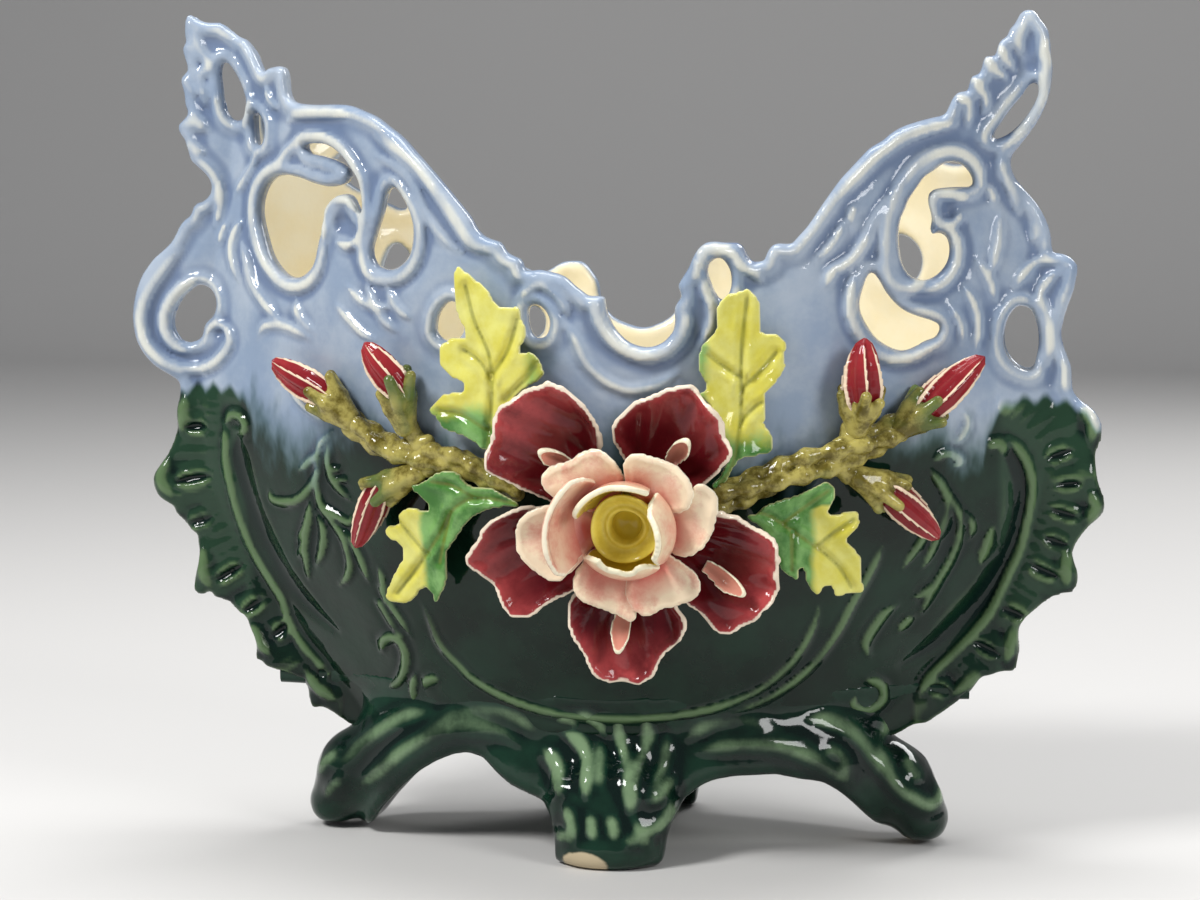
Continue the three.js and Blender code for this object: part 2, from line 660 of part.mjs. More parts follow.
// A turned shape whose own axis runs from one point towards another.
function turnedAlong(profile, from, towards) {
  const points = profile.map(([radius, height]) => new THREE.Vector2(radius, height));
  const shape = new THREE.LatheGeometry(points, budSides);
  const heading = towards.clone().sub(from).normalize();
  const turn = new THREE.Quaternion().setFromUnitVectors(new THREE.Vector3(0, 1, 0), heading);
  shape.applyQuaternion(turn);
  return shape.translate(from.x, from.y, from.z);
}

for (const [name, spray] of Object.entries(sprays)) {
  const calyxAt = offWall(spray.calyx);
  const tipAt = offWall(spray.tip);
  const heading = tipAt.clone().sub(calyxAt).normalize();
  const budAt = calyxAt.clone().addScaledVector(heading, calyxLength + seat);
  const budLength = tipAt.distanceTo(budAt);
  const calyxProfile = [
    [0, 0], [calyxRadius * 0.45, 0], [calyxRadius * 0.8, calyxLength * 0.3],
    [calyxRadius, calyxLength * 0.75], [calyxRadius * 0.85, calyxLength], [0, calyxLength],
  ];
  const budProfile = [
    [0, 0], [budRadius * 0.85, 0], [budRadius, budLength * 0.25],
    [budRadius * 0.62, budLength * 0.7], [0, budLength],
  ];
  addPiece(`${name}_stem`, stemTube(spray.route, calyxAt, heading), glaze.stem);
  addPiece(`${name}_calyx`, turnedAlong(calyxProfile, calyxAt, tipAt), glaze.stem);
  addPiece(`${name}_bud`, turnedAlong(budProfile, budAt, tipAt), glaze.bud);
}

// ---------------------------------------------------------------- the part's own frame
// The origin lies on the table under the middle of everything that the part takes up.
const jardiniere = new THREE.Group();
jardiniere.add(vessel);
vessel.updateMatrixWorld(true);
const extent = new THREE.Box3().setFromObject(vessel, true);
vessel.position.set(
  -(extent.min.x + extent.max.x) / 2,
  -(extent.min.y + extent.max.y) / 2,
  -extent.min.z,
);
jardiniere.updateMatrixWorld(true);

export default jardiniere;
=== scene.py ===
import math

import bmesh
import bpy
import numpy as np
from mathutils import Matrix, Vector


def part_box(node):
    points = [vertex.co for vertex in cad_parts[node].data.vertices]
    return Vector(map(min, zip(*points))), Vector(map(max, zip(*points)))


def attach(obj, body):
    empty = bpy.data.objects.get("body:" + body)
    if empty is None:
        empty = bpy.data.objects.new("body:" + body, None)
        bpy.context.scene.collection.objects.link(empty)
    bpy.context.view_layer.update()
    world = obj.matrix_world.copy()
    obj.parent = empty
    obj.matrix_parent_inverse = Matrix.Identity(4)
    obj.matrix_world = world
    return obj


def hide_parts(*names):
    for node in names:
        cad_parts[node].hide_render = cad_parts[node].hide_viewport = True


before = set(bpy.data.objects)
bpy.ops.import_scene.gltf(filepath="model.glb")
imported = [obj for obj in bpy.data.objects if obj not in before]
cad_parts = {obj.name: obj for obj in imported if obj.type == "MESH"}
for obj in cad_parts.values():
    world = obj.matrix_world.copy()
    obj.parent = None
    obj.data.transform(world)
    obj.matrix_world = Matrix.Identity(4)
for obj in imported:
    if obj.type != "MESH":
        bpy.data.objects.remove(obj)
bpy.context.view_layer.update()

# ------------------------------------------------------------------ front wall
# The front half of the slip-cast body: one thin wall of white earthenware, pierced and
# moulded with scrolls, shells and leaves, joined to the back half along an upright seam at
# each end. Its blue glaze runs into bottle green and breaks to cream on every ridge.
# Lengths are in millimetres from the table and the vessel's middle until a piece is placed.
mm_in_metre = 1000
floor_low, floor_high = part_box("bowl_floor")
middle_x = (floor_low.x + floor_high.x) / 2 * mm_in_metre
middle_y = (floor_low.y + floor_high.y) / 2 * mm_in_metre


def through(points, spacing=0.8, closed=False):
    """A smooth line through a few points, as closely spaced points."""
    p = np.asarray(points, float)
    if closed:
        p = np.vstack([p[-1], p, p[0], p[1]])
    else:
        p = np.vstack([2 * p[0] - p[1], p, 2 * p[-1] - p[-2]])
    line = []
    for a, b, c, d in zip(p, p[1:], p[2:], p[3:]):
        steps = max(1, int(np.ceil(np.linalg.norm(c - b) / spacing)))
        t = (np.arange(steps) / steps)[:, None]
        line.append(
            0.5
            * (
                2 * b
                + (c - a) * t
                + (2 * a - 5 * b + 4 * c - d) * t**2
                + (3 * b - a - 3 * c + d) * t**3
            )
        )
    if not closed:
        line.append(p[-2][None])
    return np.vstack(line)


def profile(heights, values, soften=6.0):
    """Values by height with the corners between the stations rounded."""

    def at(z):
        shifts = np.array([-2, -1, 0, 1, 2]) * soften
        return sum(np.interp(z + s, heights, values) for s in shifts) / 5

    return at


# Half the body's depth and half its length, by height above the table.
half_depth = profile([0, 30, 50, 100, 150, 185, 240, 300], [38, 42, 47, 62, 72, 77, 82, 84])
half_length = profile(
    [0, 40, 60, 80, 100, 130, 160, 180, 200, 230, 260, 300],
    [80, 90, 108, 124, 138, 150, 152, 150, 146, 140, 138, 138],
)
seam_half = 3.5
plan_roundness = 1.15


def wall_face(x, z):
    """How far the wall's face stands from the seam's plane."""
    reach = np.minimum(np.abs(x) / half_length(z), 1)
    return seam_half + (half_depth(z) - seam_half) * (1 - reach**2) ** plan_roundness


def wall_slant(x, z):
    """How much deeper the wall measures front to back than square to its face."""
    across = wall_face(x + 1, z) - wall_face(x - 1, z)
    upward = wall_face(x, z + 1) - wall_face(x, z - 1)
    return np.sqrt(1 + across**2 / 4 + upward**2 / 4)


class Sheet:
    """A flat pattern of a clay piece: a grid of places, each with its distance in from the
    trimmed edge and the height of its relief."""

    stroke_reach = 2.6  # how far a stroke is felt, in its own half widths

    def __init__(self, low, high, step):
        self.step = step
        self.low = np.array(low, float)
        self.u = np.arange(low[0], high[0] + step, step)
        self.v = np.arange(low[1], high[1] + step, step)
        self.U, self.V = np.meshgrid(self.u, self.v, indexing="ij")
        self.edge = np.full(self.U.shape, 99.0)
        self.relief = np.zeros(self.U.shape)

    def window(self, low, high, margin):
        """The part of the grid round two places."""
        i0, j0 = np.floor((np.minimum(low, high) - margin - self.low) / self.step).astype(int)
        i1, j1 = np.ceil((np.maximum(low, high) + margin - self.low) / self.step).astype(int)
        return slice(max(i0, 0), max(i1 + 1, 0)), slice(max(j0, 0), max(j1 + 1, 0))

    def distance(self, line, reach):
        """Distance to a line, which side of it, and how far along it, out to a reach."""
        away = np.full(self.U.shape, reach)
        side = np.zeros(self.U.shape)
        along = np.zeros(self.U.shape)
        lengths = np.linalg.norm(np.diff(line, axis=0), axis=1)
        starts = np.concatenate([[0], np.cumsum(lengths)])
        for a, b, start, length in zip(line, line[1:], starts, lengths):
            if length < 1e-6:
                continue
            w = self.window(a, b, reach)
            du, dv = self.U[w] - a[0], self.V[w] - a[1]
            e = (b - a) / length
            t = np.clip(du * e[0] + dv * e[1], 0, length)
            gap = np.hypot(du - t * e[0], dv - t * e[1])
            nearer = gap < away[w]
            away[w] = np.where(nearer, gap, away[w])
            side[w] = np.where(nearer, np.sign(e[0] * dv - e[1] * du), side[w])
            along[w] = np.where(nearer, (start + t) / starts[-1], along[w])
        return away, side, along

    def within(self, loop):
        """Which places lie inside a closed line."""
        flips = np.zeros((len(self.u), len(self.v) + 1), int)
        for a, b in zip(loop, np.roll(loop, -1, axis=0)):
            if a[0] > b[0]:
                a, b = b, a
            i = np.arange(
                max(int(np.ceil((a[0] - self.low[0]) / self.step)), 0),
                min(int(np.ceil((b[0] - self.low[0]) / self.step)), len(self.u)),
            )
            if not len(i):
                continue
            crossing = a[1] + (b[1] - a[1]) * (self.u[i] - a[0]) / (b[0] - a[0])
            k = np.clip(np.ceil((crossing - self.low[1]) / self.step), 0, len(self.v))
            np.add.at(flips, (i, k.astype(int)), 1)
        return np.cumsum(flips[:, :-1], axis=1) % 2 == 1

    def trim(self, points, hole=False, reach=12.0):
        """Keeps what lies inside an outline, or outside a hole."""
        loop = through(points, 0.7, closed=True)
        away, _, _ = self.distance(np.vstack([loop, loop[:1]]), reach)
        kept = self.within(loop) != hole
        signed = np.where(kept, away, -away)
        self.edge = np.minimum(self.edge, signed)
        return signed

    def stroke(self, points, width, height, taper=(0.35, 0.35), lean=0.0):
        """Presses a rounded ridge, or with a negative height a groove, along a line. A ridge
        gives way where the clay already stands up, and draws in a little at its foot."""
        away, side, along = self.distance(through(points, 1.0), width * self.stroke_reach)
        start = np.clip(along / taper[0], 0, 1)
        end = np.clip((1 - along) / taper[1], 0, 1)
        swell = 0.35 + 0.65 * np.sin(start * end * np.pi / 2)
        wide = width * swell * (1 + lean * side)
        bump = height * swell * np.clip(1 - (away / wide) ** 2, 0, 1) ** 1.5
        if height > 0:
            foot = 0.2 * height * swell * np.exp(-(((away - 1.35 * wide) / (0.55 * wide)) ** 2))
            bump = bump * (1 - 0.75 * self.relief / height) - foot
        self.relief = self.relief + bump

    def boss(self, centre, radius, height):
        """Raises a round boss, or with a negative height sinks an eye."""
        away = np.hypot(self.U - centre[0], self.V - centre[1])
        bump = height * np.clip(1 - (away / radius) ** 2, 0, 1) ** 1.5
        self.relief = self.relief + bump

    def blurred(self, values, radius):
        """Values of the grid evened out over a radius."""
        reach = int(np.ceil(2.5 * radius / self.step))
        taps = np.exp(-0.5 * (np.arange(-reach, reach + 1) * self.step / radius) ** 2)
        taps /= taps.sum()
        for axis in (0, 1):
            values = np.apply_along_axis(
                lambda row: np.convolve(np.pad(row, reach, mode="edge"), taps, "valid"),
                axis,
                values,
            )
        return values

    def sample(self, values, u, v):
        """Values of the grid at any places, read between its points."""
        x = np.clip((u - self.low[0]) / self.step, 0, len(self.u) - 1.001)
        y = np.clip((v - self.low[1]) / self.step, 0, len(self.v) - 1.001)
        i, j = x.astype(int), y.astype(int)
        fx, fy = x - i, y - j
        return (
            values[i, j] * (1 - fx) * (1 - fy)
            + values[i + 1, j] * fx * (1 - fy)
            + values[i, j + 1] * (1 - fx) * fy
            + values[i + 1, j + 1] * fx * fy
        )


def rounded(a, b, radius):
    """The nearer of two distances into the clay, with their shared edge rounded."""
    both = np.minimum(a, b)
    corner = radius - np.hypot(np.maximum(radius - a, 0), np.maximum(radius - b, 0))
    return np.where((a < radius) & (b < radius), corner, both)


def joined(a, b, blend):
    """Two lumps of clay worked into one, with a soft fillet between them."""
    mix = np.clip(0.5 + 0.5 * (a - b) / blend, 0, 1)
    return b + (a - b) * mix + blend * mix * (1 - mix)


def skin(field, low, step):
    """Points and four-sided faces of the surface where a field of depths is zero."""
    solid = field > 0
    nx, ny, nz = field.shape
    corners = [(a, b, c) for a in (0, 1) for b in (0, 1) for c in (0, 1)]
    filled = sum(
        solid[a : nx - 1 + a, b : ny - 1 + b, c : nz - 1 + c].astype(np.int8) for a, b, c in corners
    )
    active = (filled > 0) & (filled < 8)
    index = np.full(active.shape, -1)
    index[active] = np.arange(active.sum())
    cell = np.stack(np.nonzero(active), axis=1)
    total = np.zeros(cell.shape)
    count = np.zeros(len(cell))
    for p in corners:
        for axis in range(3):
            if p[axis]:
                continue
            q = list(p)
            q[axis] = 1
            at = field[tuple((cell + p).T)]
            to = field[tuple((cell + q).T)]
            crossed = (at > 0) != (to > 0)
            t = np.where(crossed, at / np.where(crossed, at - to, 1), 0)
            spot = np.array(p, float) + t[:, None] * (np.array(q) - np.array(p))
            total += np.where(crossed[:, None], spot, 0)
            count += crossed
    points = np.array(low) + step * (cell + total / count[:, None])
    faces = []
    for axis in range(3):
        one, two = (axis + 1) % 3, (axis + 2) % 3
        inner = [slice(1, -1)] * 3
        inner[axis] = slice(0, -1)
        outer = list(inner)
        outer[axis] = slice(1, None)
        here, there = solid[tuple(inner)], solid[tuple(outer)]
        spots = np.stack(np.nonzero(here != there), axis=1)
        faces_out = here[tuple(spots.T)]
        start = spots.copy()
        start[:, one] += 1
        start[:, two] += 1
        quad = []
        for back_one, back_two in ((1, 1), (0, 1), (0, 0), (1, 0)):
            c = start.copy()
            c[:, one] -= back_one
            c[:, two] -= back_two
            quad.append(index[tuple(c.T)])
        quad = np.stack(quad, axis=1)
        faces.append(np.where(faces_out[:, None], quad, quad[:, ::-1]))
    return points, np.vstack(faces)


def eased(points, faces, times=1, amount=0.5):
    """Soft clay: each point moved towards the mean of its neighbours."""
    a = faces.ravel()
    b = np.roll(faces, -1, axis=1).ravel()
    ends = np.concatenate([a, b])
    starts = np.concatenate([b, a])
    count = np.bincount(ends, minlength=len(points))[:, None]
    for _ in range(times):
        mean = np.stack(
            [np.bincount(ends, points[starts, k], len(points)) for k in range(3)], axis=1
        )
        points = points + amount * (mean / count - points)
    return points


def piece(name, points, faces, tones, glaze, nodes):
    """Makes a finished piece from points in millimetres about the vessel's own middle. Its
    tones are kept at its points for the glaze to read."""
    name = name.replace(" ", "_")
    mesh = bpy.data.meshes.new(name)
    placed = (points + np.array([middle_x, middle_y, 0])) / mm_in_metre
    mesh.vertices.add(len(placed))
    mesh.vertices.foreach_set("co", placed.astype(np.float32).ravel())
    sides = np.array([len(face) for face in faces])
    corners = np.concatenate(faces)
    mesh.loops.add(len(corners))
    mesh.loops.foreach_set("vertex_index", corners.astype(np.int32))
    mesh.polygons.add(len(sides))
    mesh.polygons.foreach_set(
        "loop_start", np.concatenate([[0], np.cumsum(sides)[:-1]]).astype(np.int32)
    )
    mesh.update(calc_edges=True)
    mesh.validate()
    mesh.shade_smooth()
    for mark, values in tones.items():
        layer = mesh.attributes.new(mark, "FLOAT", "POINT")
        layer.data.foreach_set("value", np.asarray(values, np.float32))
    mesh.materials.append(glaze)
    made = bpy.data.objects.new(name, mesh)
    bpy.context.scene.collection.objects.link(made)
    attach(made, "root")
    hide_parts(*nodes)
    return made


def new_glaze(name, roughness=0.07):
    """A glossy glaze: its material, node tree and shader."""
    material = bpy.data.materials.new(name)
    material.use_nodes = True
    tree = material.node_tree
    shader = tree.nodes["Principled BSDF"]
    shader.inputs["Roughness"].default_value = roughness
    shader.inputs["IOR"].default_value = 1.5
    shader.inputs["Specular IOR Level"].default_value = 0.3
    return material, tree, shader


def wire(tree, source, target):
    tree.links.new(source, target)


def tone(tree, name):
    """A tone that the piece keeps at its points."""
    node = tree.nodes.new("ShaderNodeAttribute")
    node.attribute_name = name
    return node.outputs["Fac"]


def noise(tree, scale, detail=4.0, roughness=0.55, stretch=(1, 1, 1)):
    """Soft clouds in the glaze, finer with a larger scale."""
    place = tree.nodes.new("ShaderNodeTexCoord")
    turn = tree.nodes.new("ShaderNodeMapping")
    turn.inputs["Scale"].default_value = stretch
    node = tree.nodes.new("ShaderNodeTexNoise")
    node.inputs["Scale"].default_value = scale
    node.inputs["Detail"].default_value = detail
    node.inputs["Roughness"].default_value = roughness
    wire(tree, place.outputs["Object"], turn.inputs["Vector"])
    wire(tree, turn.outputs["Vector"], node.inputs["Vector"])
    return node.outputs["Fac"]


def spread(tree, value, low, high, to_low=0.0, to_high=1.0):
    """A value from low to high spread softly over another range."""
    node = tree.nodes.new("ShaderNodeMapRange")
    node.interpolation_type = "SMOOTHSTEP"
    node.inputs["From Min"].default_value = low
    node.inputs["From Max"].default_value = high
    node.inputs["To Min"].default_value = to_low
    node.inputs["To Max"].default_value = to_high
    wire(tree, value, node.inputs["Value"])
    return node.outputs["Result"]


def math_of(tree, operation, a, b, clamp=False):
    """Two values added, multiplied and so on."""
    node = tree.nodes.new("ShaderNodeMath")
    node.operation = operation
    node.use_clamp = clamp
    for socket, value in zip(node.inputs, (a, b)):
        if isinstance(value, (int, float)):
            socket.default_value = value
        else:
            wire(tree, value, socket)
    return node.outputs["Value"]


def mixed(tree, amount, a, b):
    """Colour a giving way to colour b by an amount."""
    node = tree.nodes.new("ShaderNodeMix")
    node.data_type = "RGBA"
    wire(tree, amount, node.inputs["Factor"])
    for socket, value in zip((node.inputs[6], node.inputs[7]), (a, b)):
        if isinstance(value, tuple):
            socket.default_value = (*value, 1)
        else:
            wire(tree, value, socket)
    return node.outputs[2]


def dimpled(tree, shader, scale, depth, detail=3.0):
    """The slight orange-peel of a poured glaze."""
    bump = tree.nodes.new("ShaderNodeBump")
    bump.inputs["Strength"].default_value = 0.6
    bump.inputs["Distance"].default_value = depth
    wire(tree, noise(tree, scale, detail), bump.inputs["Height"])
    wire(tree, bump.outputs["Normal"], shader.inputs["Normal"])


# Each pair of colours is one glaze where its cloud is dark and where it is pale.
sky_blue = (0.245, 0.315, 0.425), (0.37, 0.43, 0.51)
pooled_blue = (0.125, 0.175, 0.285)
thin_blue = (0.70, 0.70, 0.62)
bottle_green = (0.0025, 0.010, 0.006), (0.006, 0.025, 0.014)
teal = (0.03, 0.075, 0.075), (0.06, 0.12, 0.12)
frill_green = (0.025, 0.062, 0.034)
pooled_green = (0.003, 0.011, 0.009)
moss = (0.10, 0.165, 0.075), (0.20, 0.30, 0.25)
straw = (0.85, 0.76, 0.53), (0.87, 0.82, 0.66)


def body_glaze():
    """Blue above and bottle green below, paler where they thin, and straw yellow inside."""
    material, tree, shader = new_glaze("body glaze")
    clouds = noise(tree, 38, 5, 0.6)
    cloudy = spread(tree, clouds, 0.3, 0.7)
    runs = noise(tree, 45, 4, 0.55, stretch=(1, 1, 0.45))
    pooled = tone(tree, "hollow")
    above = math_of(tree, "ADD", tone(tree, "above"), spread(tree, runs, 0.3, 0.7, -0.26, 0.26))
    breaking = math_of(
        tree, "MULTIPLY", tone(tree, "ridge"), spread(tree, runs, 0.25, 0.6, 0.5, 1.0)
    )
    upper = mixed(tree, spread(tree, clouds, 0.35, 0.68), *sky_blue)
    upper = mixed(tree, spread(tree, pooled, 0.1, 1.0, 0, 0.85), upper, pooled_blue)
    upper = mixed(tree, spread(tree, breaking, 0.3, 1.15), upper, thin_blue)
    lower = mixed(tree, cloudy, *bottle_green)
    lower = mixed(tree, spread(tree, above, 0.1, 0.5), lower, mixed(tree, cloudy, *teal))
    lower = mixed(tree, spread(tree, tone(tree, "frill"), 0.5, 1, 0, 0.6), lower, frill_green)
    lower = mixed(tree, spread(tree, pooled, 0.1, 0.8), lower, pooled_green)
    thin_green = mixed(tree, spread(tree, above, 0.0, 0.5), *moss)
    lower = mixed(tree, spread(tree, breaking, 0.06, 0.75), lower, thin_green)
    outside = mixed(tree, spread(tree, above, 0.2, 0.82), lower, upper)
    inside = mixed(tree, spread(tree, clouds, 0.3, 0.75), *straw)
    colour = mixed(tree, spread(tree, tone(tree, "inside"), 0.72, 0.95), outside, inside)
    wire(tree, colour, shader.inputs["Base Color"])
    dimpled(tree, shader, 120, 0.0003)
    return material


# The outline of the front wall in elevation, round from the foot of its left end.
left_end = [
    (-40, 36), (-75, 36), (-90, 36), (-95.5, 36), (-98.3, 36.8), (-100.6, 38.5),
    (-104.6, 41), (-108.6, 42.6), (-111, 42), (-112.6, 45),
    (-113.3, 48.2), (-114.5, 51.3), (-116.5, 52.9), (-120.5, 55.1), (-125.3, 56.2),
    (-128.8, 57.5), (-130, 59), (-132, 59.4), (-132.3, 62.1), (-131.9, 65.3), (-132.6, 68.4),
    (-134.6, 71.6), (-135.4, 74.7), (-138, 76.5), (-141.5, 79.2), (-144.4, 80.5),
    (-147, 81.3), (-148.8, 83.7), (-151.2, 82.5), (-153.5, 82.9), (-154.7, 84.6),
    (-154.5, 86.6), (-154, 90), (-153, 93.4), (-152.5, 97.4), (-153, 100.2), (-153.5, 104.1),
    (-155.5, 105.5), (-157.7, 108.2), (-160, 110.2), (-161.7, 112.5), (-162, 114.2),
    (-165, 116.2), (-167.4, 118.2), (-168.8, 120.9), (-169.5, 123.6), (-169, 126.2),
    (-167, 129.2), (-164.6, 132.9), (-162.4, 136.9), (-161, 140.5), (-160.4, 143.5),
    (-160.2, 148.1), (-159.5, 152.8), (-159, 157.8), (-160.3, 160), (-163.6, 162),
    (-168.2, 164.8), (-172, 168.7), (-174.8, 173.6), (-176, 178.6), (-176.3, 184),
    (-175.4, 190.2), (-173.8, 195.2), (-171.7, 199), (-168.2, 203.4), (-164.7, 206.4),
    (-161.8, 209.2), (-160, 212.2), (-158.6, 215), (-157, 217), (-154.5, 219),
    (-153.4, 221.8), (-152, 223.2), (-149.7, 224), (-147.4, 226), (-146.6, 228.5),
    (-147, 230.8), (-148.8, 233.4), (-151.3, 235.7), (-153.8, 238), (-154.6, 240),
    (-155.9, 245), (-157.5, 247.3), (-158.5, 249.5), (-158.4, 251), (-156.2, 253.3),
    (-155, 255), (-156, 258), (-156.3, 261.7), (-157.5, 266.7), (-156, 269),
    (-154.9, 270.2), (-155.2, 272.3), (-156.7, 277.6), (-155.4, 280), (-155.7, 282.5),
    (-155.5, 287.5), (-154, 290), (-151, 288.3), (-147.5, 287), (-142.5, 286.8),
    (-140, 285.2), (-137, 283), (-135, 281.5), (-133, 281), (-131, 279), (-128.5, 275.5),
    (-124.7, 269.5),
]
front_rim = [
    (-122, 270.5), (-118.5, 271), (-116, 271), (-114.5, 270), (-113.7, 267.5), (-113.3, 264),
    (-112.7, 261), (-111, 259), (-107.5, 258), (-100, 257.5), (-92.5, 257.5), (-86, 257),
    (-80, 255), (-75, 253), (-70.5, 250), (-65, 246.3), (-60, 241.5), (-55.5, 237),
    (-50, 231.3), (-45, 225.8), (-40, 220), (-37.9, 216.4), (-35.4, 213.9), (-32.9, 212.8),
    (-29.5, 211.7), (-27.7, 209), (-26.2, 207.8), (-23.8, 206.8), (-22.2, 205.8),
    (-20.9, 202.6), (-16.4, 202.9), (-13.4, 202.4), (-9.1, 201.3), (-6.7, 199.8),
    (-4.3, 197.5), (-2.2, 196), (0, 194.4), (1.8, 194.4), (5.1, 194.2), (5.6, 191.4),
    (6.4, 187.9), (8.1, 184.4), (10.3, 181.5), (13, 179.2), (16, 178), (18.7, 177.5),
    (21.5, 178), (24.3, 179.3), (26.3, 181.3), (27.7, 183.4), (28.2, 186.8), (28, 189.8),
    (28.8, 192.2), (30.4, 194.5), (29.3, 197.6), (30.9, 200.9), (32.7, 203.8), (33.6, 206.1),
    (34.8, 208.4), (36.3, 210.5), (38.2, 211.9), (41, 212.3), (43.8, 211.9), (47.8, 211.8),
    (49.5, 210.9), (51.7, 206.9), (53.1, 205.5), (56.5, 206), (57.3, 207.9), (58.7, 210.4),
    (60.7, 211.5), (64.8, 211.3), (66.5, 212.8), (68.5, 215.1), (70.7, 217.8), (75, 224.5),
    (80.3, 232.2), (83.5, 235.9), (86.5, 239.3), (89.7, 242.7), (93.7, 245.2), (96, 247.3),
    (100, 249.8), (105.3, 251.7), (110, 253), (113.4, 254), (115.2, 257.7), (116.7, 260.5),
]
right_end = [
    (118.8, 261.8), (120.6, 261.8), (121.3, 264), (122.2, 266.8), (124.7, 268), (125.7, 271.5),
    (126.7, 273.7), (129.7, 274), (130.7, 277.5), (132, 279.6), (133.6, 280.5),
    (134.5, 283), (136.2, 285), (138, 288.4), (140.5, 289.7), (143, 289), (145.2, 286),
    (147.4, 283), (148.3, 278.6), (148.6, 274), (149.4, 269.8), (149, 265), (148, 260),
    (146.5, 255.7), (144.4, 251.4), (141.8, 247.5), (139.2, 244), (136.5, 241), (135.2, 238),
    (136.5, 233.4), (139.3, 229.8), (142.3, 226.5), (145.2, 222.8), (147.5, 218.6),
    (149.2, 214), (149.8, 209), (150.3, 207.3), (152.8, 206.8), (155.4, 206), (157.4, 204.3),
    (158.7, 202), (158.5, 199.7), (158, 196.5), (157.2, 193.2), (156, 190), (154.9, 186.7),
    (154.2, 183.7), (153.6, 180.1), (153.8, 177.5), (154.6, 174.3), (155.8, 171),
    (157, 167.8), (157.2, 164.6), (157.6, 160), (159.8, 156.8), (162.7, 154.6),
    (165.5, 152.1), (167.5, 148.7), (168, 145.2), (167.3, 141.7), (166, 138.4),
    (165.8, 135.2), (166.1, 130.8), (166.8, 127.6), (168.5, 123.8), (169.4, 120),
    (168.6, 117.2), (166.4, 114.8), (163.8, 112.6), (161.3, 109.6), (159.5, 106.7),
    (158.3, 103.1), (159, 99.9), (160.1, 96.7), (160.3, 93.5), (159.6, 90.9), (158, 89.2),
    (154.7, 88.5), (151.4, 87.2), (147.3, 84.5), (143.3, 81.2), (140.8, 77.9),
    (140.2, 74.6), (140.5, 70.4), (140.3, 66.2), (139.4, 62.4), (137.8, 61.3),
    (134.6, 61.3), (130.6, 60.1), (127.4, 59.2), (125.4, 56.6), (123, 53.2), (118.5, 49.7),
    (114.5, 46.7), (110.4, 43.8), (108.8, 42.7), (104.8, 42), (101.6, 40.2), (98.5, 38.4),
    (95.5, 37.4), (90, 37), (75, 36.5), (40, 36),
]
# The openings of both ends, which the back wall repeats, and those of the front.
end_holes = [
    [
        (-141.8, 272.8), (-142.9, 269.8), (-142.5, 264.7), (-141.6, 258.7), (-140.4, 255.2),
        (-138.5, 253), (-135.6, 252.6), (-133.2, 255), (-133, 259.5), (-134.7, 264.7),
        (-137.5, 269.2), (-140, 272.5),
    ],
    [(-128.5, 255.3), (-124.8, 252), (-124.2, 247.5), (-125.4, 244), (-127.8, 244.4), (-128.8, 249.5)],
    [
        (-151.4, 194), (-154.8, 192.4), (-158.3, 189), (-160.6, 184.7), (-161.5, 180.8),
        (-160.6, 177), (-158.3, 174.2), (-155.5, 173.6), (-152.2, 174.5), (-150.5, 176.4),
        (-149.5, 180.2), (-146, 183.4), (-144.8, 187.2), (-146, 191), (-148.7, 193.4),
    ],
    [
        (139.2, 189), (137, 187.6), (135, 184.2), (134, 179.7), (133.9, 176.4), (134.6, 173.2),
        (136.1, 170.6), (138.1, 168.6), (140.4, 167.2), (142.7, 166.8), (144, 167.7),
        (145, 171.5), (145.6, 176), (145.3, 180.6), (144.3, 184.5), (142.6, 187.8),
    ],
    [
        (143.6, 264.7), (144.5, 262), (143.2, 258), (140, 253), (136.3, 249), (132.6, 246.5),
        (129.4, 245.6), (129.4, 247.5), (132, 251.3), (135, 255.7), (138.8, 260), (141.5, 263.6),
    ],
]
